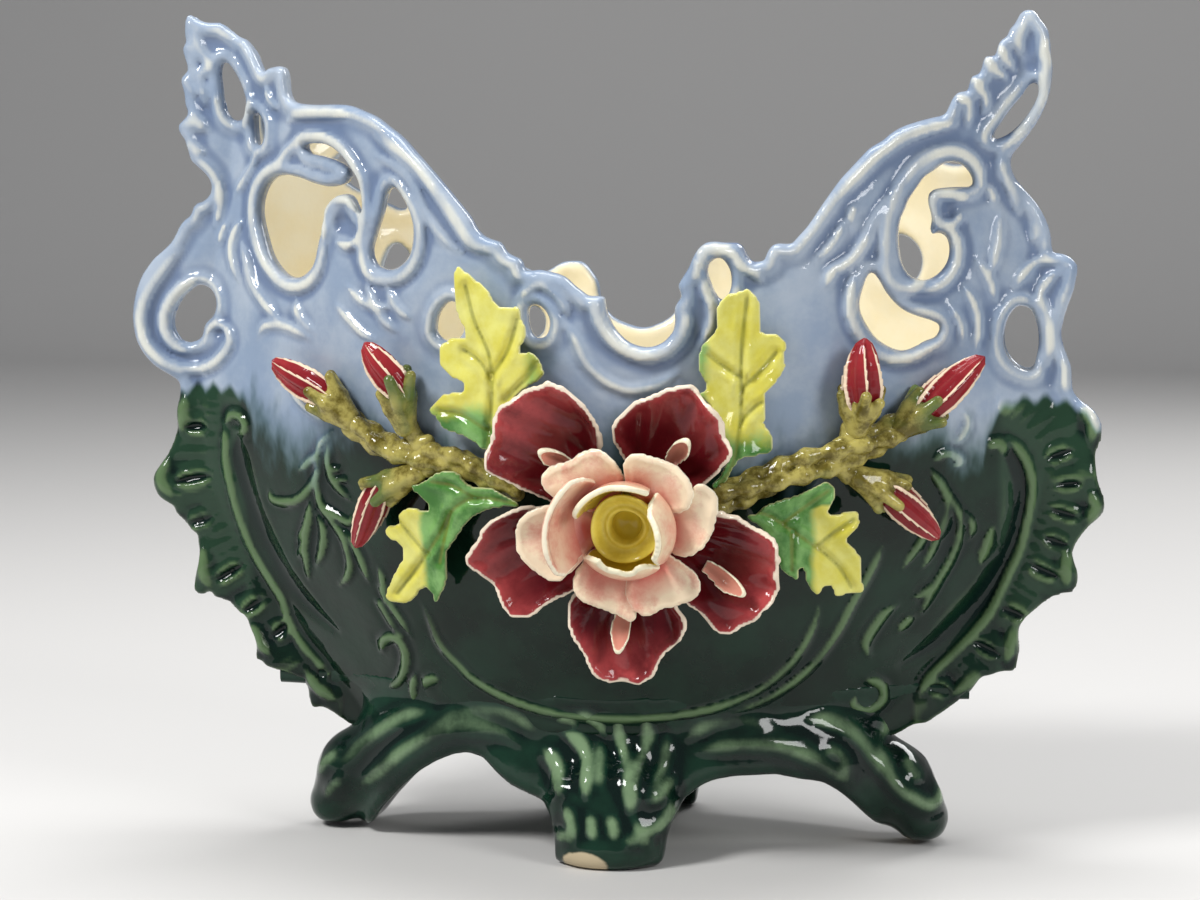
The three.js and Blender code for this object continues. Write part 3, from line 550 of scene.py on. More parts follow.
front_holes = [
    [
        (-105, 243.8), (-99, 244.2), (-93.5, 243), (-88.5, 239.6), (-84.6, 235), (-82, 231),
        (-80.8, 225.5), (-81.5, 220.5), (-85.5, 226.5), (-91, 226.5), (-95.8, 222.5), (-97, 217.4),
        (-99, 211.5), (-100.5, 205.5), (-102.5, 201.5), (-107.6, 198.2), (-113.5, 199),
        (-119.5, 204.5), (-123, 212), (-125.3, 219.5), (-124.6, 226), (-121, 231.3),
        (-115, 233.3), (-108, 232.5), (-101, 230.5), (-94, 229.5), (-87.5, 231), (-86, 234.5),
        (-90, 237.8), (-97, 239.8), (-103, 241),
    ],
    [
        (-68, 229.5), (-63.8, 224.5), (-61.5, 218.3), (-61.2, 212.7), (-62.6, 207),
        (-66.5, 203.2), (-71, 202), (-75.7, 203.7), (-77.2, 208.5), (-75.2, 215),
        (-72.7, 221.2), (-71, 227.5),
    ],
    [
        (-53, 184), (-51.5, 188.5), (-48, 191.8), (-44.5, 191), (-42.5, 187), (-43, 182),
        (-46, 178.8), (-50, 178.8), (-52.8, 181),
    ],
    [
        (-19.9, 190.5), (-17.5, 191.5), (-15, 190.3), (-13.2, 187.5), (-12.9, 184.5),
        (-14, 181.5), (-16.2, 180.3), (-18.6, 181), (-20, 184), (-20.4, 187.5),
    ],
    [
        (39.2, 205), (42.6, 207), (45.5, 203.5), (46.3, 199), (45.6, 195.5), (43.5, 192.8),
        (41.5, 194.5), (39.9, 198), (38.6, 202),
    ],
    [
        (105, 230), (107.1, 233), (110.4, 235.3), (113, 237.3), (116.2, 238), (119.5, 236.8),
        (121.9, 234), (122.8, 231.5), (122.3, 229.8), (118.2, 229.6), (113.8, 229.4),
        (110.2, 228.8), (108.4, 226.8), (108.6, 223.8), (109.4, 221), (109.7, 218.4),
        (109.2, 216), (109.6, 213.8), (111.9, 214.2), (114.5, 212.7), (115.5, 208.4),
        (114.5, 203.8), (111.5, 200.2), (107.8, 198.5), (104.5, 199.2), (102, 201),
        (99.9, 205.4), (99, 212.8), (99.4, 218.4), (100.8, 222), (102.2, 225.6),
    ],
    [
        (90.6, 201.6), (92.8, 199), (95.3, 194.6), (98.4, 190.8), (102, 188), (106.5, 186.1),
        (110.2, 184.8), (112.7, 182.9), (111.4, 179.4), (107.7, 178), (105.2, 176.5),
        (100.8, 175), (96.5, 176.3), (92.1, 179.5), (89, 184), (87, 188.4), (86.8, 192.2),
        (87.7, 196), (89, 199.8),
    ],
]
# Each moulded line: half width, height, how long its two ends taper, and its points.
end_lines = [
    (2.8, 1.7, 0.2, [(-151, 285), (-150.6, 280), (-148, 274.8), (-147.4, 271.3), (-150, 267.6),
                     (-149, 262), (-148, 257.5)]),
    (4.2, 1.6, 0.3, [(-155.5, 251), (-152, 251.5), (-147.5, 249.5)]),
    (2.4, 1.5, 0.3, [(-123, 264), (-121, 259), (-117, 256)]),
    (2.4, 1.3, 0.3, [(-126.5, 242), (-130, 235), (-137, 226.5)]),
    (2.2, 1.2, 0.3, [(-155.5, 279), (-152, 277), (-150, 273)]),
    (2.2, 1.2, 0.3, [(-156.5, 267), (-153.5, 264.5), (-151.5, 261)]),
    (2.4, 1.3, 0.3, [(-155.5, 245), (-152.5, 242.5), (-148, 241)]),
    (3.0, 1.6, 0.2, [(-152.6, 196), (-158.2, 192.6), (-162.9, 187.4), (-164.8, 182), (-164, 176.5),
                     (-160.6, 172), (-156, 170)]),
    (2.9, 1.8, 0.15, [(-157, 207), (-163, 201), (-167.8, 195), (-170.8, 189.7), (-172.3, 184.7),
                      (-172.2, 178.7), (-170.4, 173), (-166.6, 168.7), (-161.6, 165.4),
                      (-153.8, 163.8), (-146.8, 165.4), (-141, 169.3), (-137.5, 174.2),
                      (-139, 178.6), (-144, 180.5), (-147.5, 177.5)]),
    (2.4, 1.5, 0.3, [(131, 278), (133, 273), (136.5, 269)]),
    (2.4, 1.5, 0.3, [(127, 273.5), (130, 269), (134, 266)]),
    (2.4, 1.5, 0.3, [(122.5, 266.5), (125.5, 262), (127, 258.5), (126, 254)]),
    (2.4, 1.5, 0.3, [(117.5, 260), (120.5, 258), (121.5, 256), (121, 250)]),
    (2.8, 1.6, 0.2, [(146, 281), (146.6, 273), (146, 265), (143.6, 257), (139, 249.5),
                     (134.5, 243.5)]),
    (2.6, 1.5, 0.3, [(140, 286.5), (138, 280), (137.8, 274)]),
    (2.6, 1.4, 0.2, [(155, 203), (150, 199), (146, 193), (148.5, 186), (149.5, 177), (149, 168)]),
    (2.4, 1.3, 0.3, [(152, 203.5), (146, 204.5), (141, 201), (137, 195)]),
]
front_lines = [
    (2.4, 1.3, 0.25, [(-113, 252), (-108, 254), (-99, 254.5), (-91, 254.3), (-84, 252.6)]),
    (3.2, 1.6, 0.2, [(-75, 246.7), (-67.5, 241.7), (-60, 236.5), (-55.5, 231.7), (-49.5, 224.8),
                     (-44.7, 217.7), (-39.3, 211), (-32.5, 208.5)]),
    (2.6, 1.3, 0.25, [(-75, 240.3), (-65, 235.2), (-60, 229.6), (-56, 221), (-49, 212.6),
                      (-42.7, 208.4)]),
    (2.4, 1.4, 0.3, [(-143, 231), (-142.8, 223), (-144.7, 215)]),
    (2.2, 1.3, 0.3, [(-140, 217), (-142.5, 212), (-143.5, 208.3)]),
    (2.6, 1.6, 0.3, [(-133.2, 217.7), (-137, 212.2), (-138, 206.7), (-136.3, 200.7),
                     (-133.3, 195.7)]),
    (2.6, 1.6, 0.2, [(-133.2, 209.5), (-131, 204), (-129.4, 198.4), (-126.5, 193), (-120.5, 187),
                     (-115, 183)]),
    (2.4, 1.4, 0.3, [(-108, 190.8), (-108, 186.4), (-105, 182.6), (-100.3, 179.5)]),
    (2.6, 1.5, 0.3, [(-125.5, 176.5), (-122.5, 180.2), (-117.7, 181.6), (-111, 180.8),
                     (-101, 177.3)]),
    (3.0, 1.6, 0.15, [(-79, 219), (-79.5, 227), (-83, 235), (-88, 241.5), (-95, 246),
                      (-104, 246.8), (-111, 243), (-117, 237.5), (-124, 234), (-128.5, 228),
                      (-129, 218), (-125.5, 207), (-119, 199), (-112, 194.8), (-104, 195.5),
                      (-98.5, 200.5), (-95.5, 209)]),
    (2.4, 1.8, 0.1, [(-95.5, 212), (-97, 219), (-93.5, 224.8), (-87, 225.2), (-81.8, 221),
                     (-81.5, 214), (-86, 210), (-91.5, 211)]),
    (2.4, 1.4, 0.2, [(-80.5, 206), (-79, 200), (-73, 198), (-65.5, 199), (-60, 204),
                     (-57.5, 212), (-59, 220), (-64, 228), (-69.5, 234)]),
    (2.4, 1.4, 0.2, [(-84, 232), (-79.5, 222), (-81.5, 212), (-80.5, 203), (-75, 197.5)]),
    (2.2, 1.5, 0.3, [(-87, 196), (-80.5, 191), (-74.5, 189), (-69, 190)]),
    (2.2, 1.4, 0.3, [(-79, 197), (-76, 190), (-72, 184.5), (-66.5, 181)]),
    (2.2, 1.4, 0.3, [(-71, 196), (-67.5, 189.5), (-62, 185.5)]),
    (2.0, 1.3, 0.3, [(-92, 190), (-86, 184.5), (-80.5, 180), (-75, 178)]),
    (2.4, 1.5, 0.15, [(-23.5, 193.8), (-16.3, 197.8), (-10.9, 195), (-8, 191.4), (-6.5, 188)]),
    (2.8, 1.6, 0.1, [(1.7, 193.8), (3.3, 186.8), (7, 180.8), (12, 176.7), (17.8, 174.6),
                     (24, 175.2), (28.7, 178.5), (31.8, 183.8), (33, 190)]),
    (2.6, 1.3, 0.25, [(-8, 187), (-3.5, 178.5), (-0.8, 172.6), (4.3, 167.3), (10, 164.2),
                      (15.3, 163.3), (23, 165), (29.5, 169.5)]),
    (2.2, 1.3, 0.15, [(34.5, 207.5), (38.2, 209.9), (42.6, 210.5), (46.6, 208.7), (49.4, 205.2),
                      (53.3, 201.8), (56.7, 199)]),
    (2.4, 1.3, 0.25, [(37.9, 202), (38.4, 196.2), (40, 191.6), (40, 185), (36.5, 178)]),
    (2.8, 1.5, 0.2, [(91.6, 215), (86, 207), (79, 202.7), (75.8, 197)]),
    (2.2, 1.2, 0.3, [(82, 218.7), (78.2, 211.3), (73, 205.7)]),
    (2.4, 1.4, 0.25, [(94.6, 226.3), (89.7, 214.9), (84.1, 206), (80.4, 201)]),
    (3.0, 1.6, 0.12, [(108, 217), (110.5, 210), (109, 203), (104, 196), (98, 198), (95, 206),
                      (95.3, 218), (98.5, 228), (104, 236), (111, 241), (118.5, 241.5),
                      (124.5, 237), (126.5, 229.5)]),
    (2.4, 1.8, 0.1, [(122, 225.5), (118.2, 226.8), (114.9, 227.5), (111.3, 227.5), (109.4, 224.5),
                     (110, 220.5), (113, 217.3), (117.5, 217.5), (120, 221)]),
    (2.6, 1.6, 0.2, [(111.3, 217.3), (116.5, 214.5), (118.7, 209), (118, 203), (114.2, 197.6),
                     (107.5, 194.5)]),
    (2.4, 1.4, 0.3, [(99.8, 231), (98, 226), (97.5, 222)]),
    (2.2, 1.2, 0.3, [(85.3, 224.4), (84.2, 221), (84, 217.5)]),
    (2.2, 1.3, 0.3, [(127.5, 230.6), (129.5, 227), (130, 223.6)]),
    (2.4, 1.5, 0.3, [(132.2, 221), (132, 215), (131.4, 209.5), (129.4, 199.3)]),
    (2.2, 1.4, 0.3, [(133.4, 233.8), (136.6, 226), (138.8, 219.6)]),
    (2.2, 1.3, 0.3, [(142.8, 218), (143.7, 214), (143.4, 210.3)]),
    (2.4, 1.4, 0.2, [(84.5, 203), (83.8, 194), (84.8, 185), (89.5, 177), (96.5, 172.3),
                     (105, 172.8), (113, 177)]),
    (2.6, 1.4, 0.25, [(118, 251), (113, 250), (108.5, 249), (101, 246), (94, 241), (87, 234),
                      (80, 226)]),
    (2.2, 1.4, 0.3, [(120, 197), (124, 190), (125.5, 182), (124.5, 174)]),
    (2.2, 1.4, 0.3, [(125, 205), (129, 198), (131, 190.5)]),
    (2.0, 1.3, 0.3, [(116, 190), (119.5, 184), (120.5, 177)]),
    # Green body: the ribs inside the leaf frills, and the foliage sprigs.
    (2.4, 1.5, 0.06, [(135.7, 144.5), (138.9, 140.6), (141.7, 136), (143.4, 131), (144, 126),
                      (143.5, 120), (142.2, 113.5), (141, 107.8), (139.3, 102.6), (136.9, 97.5),
                      (134.5, 91.8), (130.3, 82.7), (125.5, 76), (120.7, 70.8), (115.9, 65.8),
                      (111, 60.8), (107.9, 56.5), (105.5, 52)]),
    (2.4, 1.5, 0.06, [(-140.3, 144.3), (-140.5, 137), (-140.5, 130.3), (-139, 122.3),
                      (-137.3, 114.3), (-135, 107), (-132.4, 100.2), (-128.8, 93.5),
                      (-125, 87.5), (-121.5, 81.7), (-119.5, 74), (-115, 66), (-110.3, 60.6),
                      (-104.5, 55)]),
    (2.2, 1.6, 0.3, [(-140.3, 144.5), (-137, 148.5), (-132.6, 147.5), (-131.6, 143.6),
                     (-134.8, 142.6)]),
    (2.0, 1.5, 0.3, [(111, 137.5), (116, 139.5), (120, 137), (117.5, 135)]),
    (2.0, 1.5, 0.25, [(110, 134.5), (115, 126.5), (116, 119), (114.5, 110.5)]),
    (2.0, 1.6, 0.2, [(116.5, 126.5), (120, 117), (119.5, 110), (116.5, 102), (111.5, 93),
                     (106.5, 83)]),
    (1.8, 1.5, 0.4, [(114, 123), (113.5, 114), (109, 102.5), (106.5, 100)]),
    (1.8, 1.4, 0.4, [(113.5, 123), (109, 112.5), (103, 103.5), (101, 100)]),
    (1.8, 1.4, 0.4, [(110.5, 94), (107.5, 90.5), (104.5, 89.5)]),
    (2.2, 1.6, 0.45, [(131, 113.5), (129, 107.5), (126.5, 100)]),
    (1.8, 1.4, 0.4, [(122.5, 119), (124, 113.5), (122.5, 109)]),
    (2.2, 1.5, 0.35, [(99.5, 87.5), (95.5, 85), (92, 80.5), (88.5, 74), (89.5, 68)]),
    (1.8, 1.4, 0.4, [(104.5, 83), (101, 79.5), (99, 77)]),
    (1.8, 1.3, 0.3, [(120, 154.5), (122.5, 150.5), (120.5, 145.5), (117.5, 143)]),
    (2.4, 1.6, 0.2, [(129, 141.5), (133.5, 142), (134.5, 138.5)]),
    (2.0, 1.5, 0.15, [(-93.5, 146), (-99, 141), (-100.5, 133.5), (-101.5, 125.5), (-100, 119),
                      (-96.5, 114.5), (-92.5, 109.5), (-90.5, 104), (-90, 98), (-92, 93.5),
                      (-95.5, 90.5)]),
    (2.6, 1.9, 0.45, [(-104, 121.5), (-106, 113.5), (-108.5, 104.5), (-108.5, 97.5), (-108.5, 91.5)]),
    (2.2, 1.6, 0.45, [(-102.5, 117), (-100, 110.5), (-101, 103.5), (-104.5, 96.5)]),
    (1.5, 1.3, 0.4, [(-106.5, 112), (-109.5, 108), (-111.5, 105)]),
    (1.5, 1.3, 0.4, [(-107.5, 105.5), (-110.5, 102), (-111.5, 98.5)]),
    (2.4, 1.7, 0.4, [(-95, 143.5), (-96.5, 136), (-95, 129.5), (-91.5, 125), (-87.5, 122)]),
    (1.5, 1.3, 0.4, [(-96, 133), (-93, 132), (-90.5, 133.5)]),
    (1.5, 1.3, 0.4, [(-94, 128), (-91, 129), (-88, 128.5)]),
    (2.0, 1.5, 0.4, [(-99.5, 138.5), (-104, 134.5), (-108.5, 131)]),
    (2.0, 1.5, 0.3, [(-101, 131.5), (-105, 124.5), (-111, 120), (-117.5, 119), (-121.5, 120),
                     (-121, 123)]),
    (2.0, 1.5, 0.3, [(-99, 119), (-94.5, 116), (-90, 114), (-87.5, 115), (-88.5, 117)]),
    (2.0, 1.5, 0.4, [(-91, 111.5), (-86.5, 103.5), (-82.5, 93)]),
    (2.0, 1.5, 0.4, [(-79.5, 93), (-74.5, 84.5), (-67.5, 74)]),
    (1.8, 1.4, 0.4, [(-78, 99), (-77, 92), (-77, 85.5)]),
    (2.2, 1.2, 0.3, [(-113, 163), (-108, 156), (-100, 151), (-92, 150)]),
    # The panel under the flower and the scrolls beside it.
    (2.0, 1.2, 0.1, [(94.5, 108.7), (89.5, 98), (84, 88), (78.6, 77.3), (70, 66), (58, 57),
                     (44, 51)]),
    (2.0, 1.2, 0.1, [(74, 90), (71, 80), (66, 71), (59.6, 64), (53.3, 59), (47, 56), (36, 52.5),
                     (20, 50), (0, 49.5), (-18, 51), (-34, 55.5), (-45, 61), (-50, 65.8),
                     (-53, 68.5), (-57, 73.3), (-59.3, 79.6), (-62, 87.5)]),
    (2.0, 1.2, 0.1, [(-80, 87), (-77, 82), (-74, 76.5), (-70.3, 73.3)]),
    (2.4, 1.6, 0.15, [(-81, 66.9), (-79.5, 70.9), (-76, 73), (-73, 72), (-71.3, 68.5),
                      (-71.5, 64), (-73.4, 58.8), (-76.5, 55.2), (-80.5, 53)]),
    (2.4, 1.6, 0.4, [(-67.6, 60.5), (-69.5, 56), (-70, 51.5), (-69, 48.5)]),
    (2.4, 1.4, 0.4, [(-58, 60), (-63, 58.5), (-65.2, 55.3)]),
    (2.4, 1.6, 0.15, [(88, 60), (93, 57), (93.5, 51.5), (89, 48), (84.5, 50), (84.6, 54)]),
]
# Each frill is a shell between its rib and its rim, with a channel beside the rib, and pits
# and lobes near the rim.
frill_reach = 34.0
frill_top = 163
frills = [
    (
        [(-140.5, 154), (-140.6, 141), (-140, 132.5), (-139, 124), (-137, 115.5), (-133.5, 107),
         (-129.5, 98), (-123.5, 89.5), (-118, 81), (-114, 70), (-108, 60), (-100, 51)],
        [(-158, 157), (-160.5, 143), (-168, 129), (-166, 117), (-155, 105.5), (-153.5, 92),
         (-151, 83.5), (-141, 79), (-133, 68), (-127, 57.5), (-116, 52), (-106, 42)],
    ),
    (
        [(132, 150), (138, 144), (142.5, 136.5), (143.5, 130), (144, 123), (143, 114), (141, 106),
         (137.5, 96), (131.5, 87), (125, 79), (117.5, 70.5), (108.5, 62.5), (104.5, 54)],
        [(135, 160), (159, 156.5), (166.5, 150), (166, 137), (167, 126), (167, 116), (158.5, 104),
         (159, 91), (147, 84), (140.3, 73), (137, 61.5), (124, 56), (111, 45)],
    ),
]
frill_channels = [
    [(-134.5, 140.5), (-134, 132.5), (-131.5, 121.5), (-127.5, 109.5), (-122.5, 98.5),
     (-116, 88), (-108, 79.5), (-99, 72.5)],
    [(134.5, 142), (138.5, 134), (140, 125), (139.5, 116), (137, 107), (133, 98), (127, 88),
     (119, 79), (110.5, 71), (100, 64)],
]
frill_pits = [
    [(-161, 123), (-155.5, 124.5), (-147, 126)], [(-146.5, 87.5), (-141.5, 90.5), (-136, 94)],
    [(-126, 67.5), (-122, 70.5), (-118.5, 74)], [(-109, 54), (-105, 57)],
    [(-157.5, 143), (-153, 143.5), (-148, 143.5)], [(-157, 108), (-151, 109.5), (-147, 111)],
    [(-136.5, 76.5), (-132.5, 79), (-129, 82)],
    [(148.5, 136), (153, 137.5), (158, 139.5)], [(150, 119), (155.5, 117), (160.5, 115.5)],
    [(143, 100), (148.5, 97), (154, 95)], [(124.5, 72), (129.5, 69.5), (134, 67)],
    [(108.5, 55.5), (113, 55), (117.5, 53)], [(152, 127), (157, 127.5), (161, 128)],
    [(148, 109), (153, 107), (157, 106)], [(134, 84), (139, 82), (143, 80.5)],
]
frill_lobes = [
    [(-163, 132), (-166, 125), (-162, 118.5)], [(-150.5, 100), (-150.5, 91), (-148, 85.5)],
    [(-133, 73), (-130, 66), (-126, 61)], [(-113, 56), (-109, 50), (-103, 46)],
    [(-156.5, 155), (-157, 148), (-158, 141)],
    [(160, 155), (164.5, 149), (164, 142)], [(163.5, 125), (166, 119.5), (163, 114)],
    [(156, 105), (156, 98.5), (156.5, 92)], [(139, 79), (137.5, 71), (136, 65)],
    [(127, 62), (122.5, 57), (117, 52.5)],
]


scroll_eyes = [((-88.3, 217.0), 4.6, -2.2), ((-142, 177.0), 2.8, -1.4), ((114.6, 221.5), 3.2, -1.8)]


def frill_shell(sheet, rib, rim, phase):
    """A frill's swelling from its rib to its rim, with waves and fine lines fanned over it."""
    rib, rim = through(rib, 1.2), through(rim, 1.2)
    from_rib, _, along = sheet.distance(rib, frill_reach)
    from_rim, _, _ = sheet.distance(rim, frill_reach)
    rib_at = np.interp(sheet.V, rib[::-1, 1], rib[::-1, 0])
    on_shell = (np.abs(sheet.U) > np.abs(rib_at)) & (from_rib < frill_reach - 1)
    part = from_rib / (from_rib + from_rim + 1e-6)
    swell = np.sin(np.pi * part)
    waves = np.sin(along * 31 + phase) * 0.7 + np.sin(along * 53 + 2 * phase) * 0.35
    lines = np.sin(along * 210 + 3 * np.sin(along * 23)) * 0.22
    shell = 0.9 * swell + waves * part**1.5 * 1.3 + lines * swell
    from_top = np.clip((frill_top - sheet.V) / 9, 0, 1)
    return np.where(on_shell, shell, 0) * np.clip(from_rib / 3, 0, 1) * from_top


def moulded(sheet, face_lines):
    """Presses the wall's ornament into its pattern."""
    for phase, (rib, rim) in enumerate(frills):
        sheet.relief += frill_shell(sheet, rib, rim, phase)
    for marks, wide, high, taper in (
        (frill_channels, 5.0, -1.5, (0.12, 0.3)),
        (frill_lobes, 3.2, 2.0, (0.35, 0.35)),
        (frill_pits, 4.4, 1.7, (0.3, 0.3)),
        (frill_pits, 2.3, -2.9, (0.4, 0.4)),
    ):
        for mark in marks:
            sheet.stroke(mark, wide, high, taper)
    for wide, high, taper, line in end_lines + face_lines:
        sheet.stroke(line, wide, high, (taper, taper), lean=0.12)
    for eye in scroll_eyes:
        sheet.boss(*eye)


def lip(inward, height, at, half_width, groove, groove_at, groove_width):
    """A raised lip along an edge and a shallow groove inside it, by distance in from the edge."""
    raised = height * np.clip(1 - ((inward - at) / half_width) ** 2, 0, 1)
    return raised - groove * np.exp(-(((inward - groove_at) / groove_width) ** 2))


def wall_pattern(outline, holes, face_lines, step):
    """One wall drawn flat: trimmed, pierced and moulded."""
    sheet = Sheet((-181, 27), (174, 295), step)
    around = sheet.trim(outline)
    for hole in end_holes + holes:
        near = sheet.trim(hole, hole=True)
        sheet.relief += lip(near, 1.1, 2.4, 2.2, 0.5, 6.6, 2.0)
    above_frills = np.clip((sheet.V - 154) / 8, 0, 1)
    sheet.relief += lip(around, 1.2, 2.6, 2.4, 0.6, 7.2, 2.2) * above_frills
    moulded(sheet, face_lines)
    return sheet


def soft_step(t):
    """From nought to one with soft ends."""
    return t * t * (3 - 2 * t)


def glaze_line(x, z):
    """How far a place is above the line where blue runs into green, and if it is on a frill."""
    frill = np.clip((np.abs(x) - 128) / 7, 0, 1)
    frill_line = 158.5 - 0.09 * (np.abs(x) - 145) ** 2 / 4 + 1.2 * np.sin(x * 0.9)
    body_line = 147 + 5 * np.sin(x * 0.045 + 1)
    above = 0.5 + (1 - frill) * (z - body_line) / 44 + frill * (z - frill_line) / 6
    return np.clip(above, -0.6, 1.6), frill * (z < 165)


wall_thickness = 6.3
edge_thickening = 2.6
thickening_reach = 7
outer_round, inner_round = 2.4, 3.1
least_half_depth = 3.4
low_cut_middle, low_cut_drop = 43.0, 12
far_off = 50.0  # deeper than any clay, so it cuts nothing


def cast_wall(name, outline, holes, face_lines, step, facing, node):
    """One wall: its flat pattern bent to the body's curve and given its thickness."""
    sheet = wall_pattern(outline, holes, face_lines, step)
    X, Z = sheet.U, sheet.V
    face, slant = np.maximum(wall_face(X, Z), least_half_depth), wall_slant(X, Z)
    uneven = 0.35 * np.sin(X * 0.071 + 1.3) * np.sin(Z * 0.083)
    uneven = uneven + 0.2 * np.sin(X * 0.19 + Z * 0.13)
    out = sheet.relief + uneven
    from_edge = np.maximum(sheet.edge, 0)
    thick = wall_thickness + edge_thickening * np.exp(-((from_edge / thickening_reach) ** 2))
    depth = np.arange(-2 * step, face.max() + 6, step)
    s = depth[None, :, None]
    outer = (face[:, None] - s) / slant[:, None] + out[:, None]
    inner_face = (face - thick * slant)[:, None]
    inner = np.where(inner_face < 0.2, far_off, (s - inner_face) / slant[:, None])
    edge = np.minimum(sheet.edge, 12)[:, None] + 0 * s
    bulk = np.minimum(rounded(edge, outer, outer_round), rounded(edge, inner, inner_round))
    low_cut = low_cut_middle - low_cut_drop * soft_step(np.clip((np.abs(X) - 88) / 12, 0, 1))
    bulk = np.minimum(np.minimum(bulk, s), (Z - low_cut)[:, None])
    points, faces = skin(bulk, (sheet.low[0], depth[0], sheet.low[1]), step)
    points = eased(points, faces, 1, 0.25)
    broad = sheet.blurred(out, 3.6)
    ridge = np.clip((out - broad - 0.18) / 0.75, 0, 1)
    hollow = np.clip((broad - out - 0.05) / 0.8, 0, 1)
    x, s, z = points.T
    depth_in = (sheet.sample(face, x, z) - s) / sheet.sample(slant, x, z)
    edge_glint = 0.4 * np.clip(1 - np.abs(sheet.sample(sheet.edge, x, z) - 0.5), 0, 1)
    above, frill = glaze_line(x, z)
    tones = {
        "ridge": np.clip(sheet.sample(ridge, x, z) + edge_glint, 0, 1) * (depth_in < 3.5),
        "hollow": sheet.sample(hollow, x, z),
        "inside": np.clip(depth_in / sheet.sample(thick, x, z), 0, 1),
        "above": above,
        "frill": frill,
    }
    if facing < 0:
        points[:, 1] *= -1
        faces = faces[:, ::-1]
    return piece(name, points, faces, tones, glaze_of_body, [node])


glaze_of_body = body_glaze()
front_outline = left_end + front_rim + right_end
cast_wall(
    "front wall cast", front_outline, front_holes, front_lines, step=1.12, facing=-1, node="front_wall"
)

# ------------------------------------------------------------------ back wall
# The other half of the same casting. It has its own lower rim and smaller openings, and
# carries the moulded ribs and frills but no applied flowers.
back_rim = [
    (-136, 281), (-134, 276), (-131, 270.5), (-127.5, 264.5), (-123, 259), (-117, 255.5),
    (-110, 253.5), (-102, 251.5), (-94, 248.5), (-88, 243.5),
    (-82, 236), (-75, 226.5), (-68, 219), (-61, 211.8), (-54, 205), (-47, 199.5),
    (-40, 196.5), (-36, 197.5), (-31.7, 200.2), (-27, 200.8), (-23.7, 200.2), (-21.6, 198),
    (-18.2, 193), (-17.3, 187.6), (-14.1, 181.5), (-9.4, 178.2), (-1.3, 176), (5.4, 178),
    (10, 181), (13.5, 187), (15, 193), (18.5, 200.5), (23, 206), (28, 207.5), (33, 206.5),
    (37, 202.5), (41, 200.5), (46, 200), (50, 202), (56, 206), (63, 213), (70, 222.5),
    (80, 235.5), (90, 244.5), (100, 249.5), (110, 253), (115.2, 257.7),
]
back_holes = [
    [
        (-108, 237), (-104, 241.5), (-97, 243), (-90, 239), (-85, 232), (-83.5, 225),
        (-86, 220.5), (-91, 222.5), (-97, 226), (-103, 229.5),
    ],
    [
        (-88, 208), (-84, 203), (-83.5, 196), (-86.5, 190.5), (-91, 190), (-94, 194.5),
        (-91.5, 205),
    ],
    [(-41, 184), (-37.6, 180), (-38, 175), (-41, 172.5), (-44.5, 176), (-44, 181.5)],
    [(96, 212), (102, 208.5), (104, 202), (101, 195.5), (95, 193.5), (89.5, 199), (90.5, 208)],
    [(112, 246.5), (118, 243.5), (121, 238.5), (116, 237), (110, 239), (107.5, 243.5)],
    [(54, 198), (58, 190), (66, 184), (76, 180.5), (71, 175.5), (62, 175.5), (53, 184)],
]
back_lines = [
    (2.8, 1.5, 0.2, [(-104, 247), (-95, 243), (-86, 233), (-76, 219), (-64, 206), (-52, 197)]),
    (2.6, 1.5, 0.1, [(-14, 190), (-12, 183), (-6, 175), (0, 172.5), (6, 174), (11, 181), (13, 190)]),
    (2.8, 1.5, 0.2, [(42, 193), (52, 197), (62, 206), (73, 219), (84, 232), (96, 242)]),
    (2.4, 1.4, 0.2, [(-30, 186), (-36, 166), (-52, 152), (-72, 146)]),
    (2.4, 1.4, 0.2, [(30, 186), (36, 166), (52, 152), (72, 146)]),
    (2.4, 1.3, 0.2, [(-110, 196), (-116, 180), (-112, 164)]),
    (2.4, 1.3, 0.2, [(110, 196), (116, 180), (112, 164)]),
]
# Below the glaze line the back repeats the front's moulded foliage and ribs.
glaze_height = 150
back_lines += [line for line in front_lines if max(z for _, z in line[3]) < glaze_height]
# The back rim takes over from the left end six points before the front rim does.
back_outline = left_end[:-6] + back_rim + right_end
cast_wall(
    "back wall cast", back_outline, back_holes, back_lines, step=1.7, facing=1, node="back_wall"
)

# ------------------------------------------------------------------ bowl floor
# The flat bottom inside the body: a plate of the same earthenware, luted in between the two
# walls and glazed straw yellow with them. It shows the solid of the CAD model.
floor_straw = (0.80, 0.68, 0.40), (0.82, 0.76, 0.54)


def straw_glaze():
    material, tree, shader = new_glaze("straw glaze", 0.15)
    clouds = noise(tree, 40, 5)
    colour = mixed(tree, spread(tree, clouds, 0.3, 0.75), *floor_straw)
    wire(tree, colour, shader.inputs["Base Color"])
    return material


floor_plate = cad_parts["bowl_floor"]
floor_plate.data.materials.clear()
floor_plate.data.materials.append(straw_glaze())

# ------------------------------------------------------------------ foot base
# The arched base is cast with the body: a skirt on four feet, two long ones in the plane of
# the seam and a short one at the front and at the back, dressed with leaves and a cartouche.
# How high the base stands clear of the table along its front, by place across.
front_skirt = profile(
    [-112, -88, -84, -78.4, -73.4, -66.7, -60, -53.3, -48.3, -42.5, -36.7, -32.5, -25, -20, -16,
     -14.5, 21, 23, 25, 27, 31.2, 35.3, 39.4, 45, 58.8, 66.9, 74.1, 79.8, 84.6, 91.8, 112],
    [0, 2, 8, 14.3, 19.5, 25.6, 30, 33, 34, 33, 27.4, 24.2, 21.1, 19.2, 14.5,
     -6, -6, 10.7, 15.8, 20, 24, 26.6, 28, 28.7, 28.9, 26.7, 25, 21.2, 16.5, 8.2, 0],
    0.5,
)
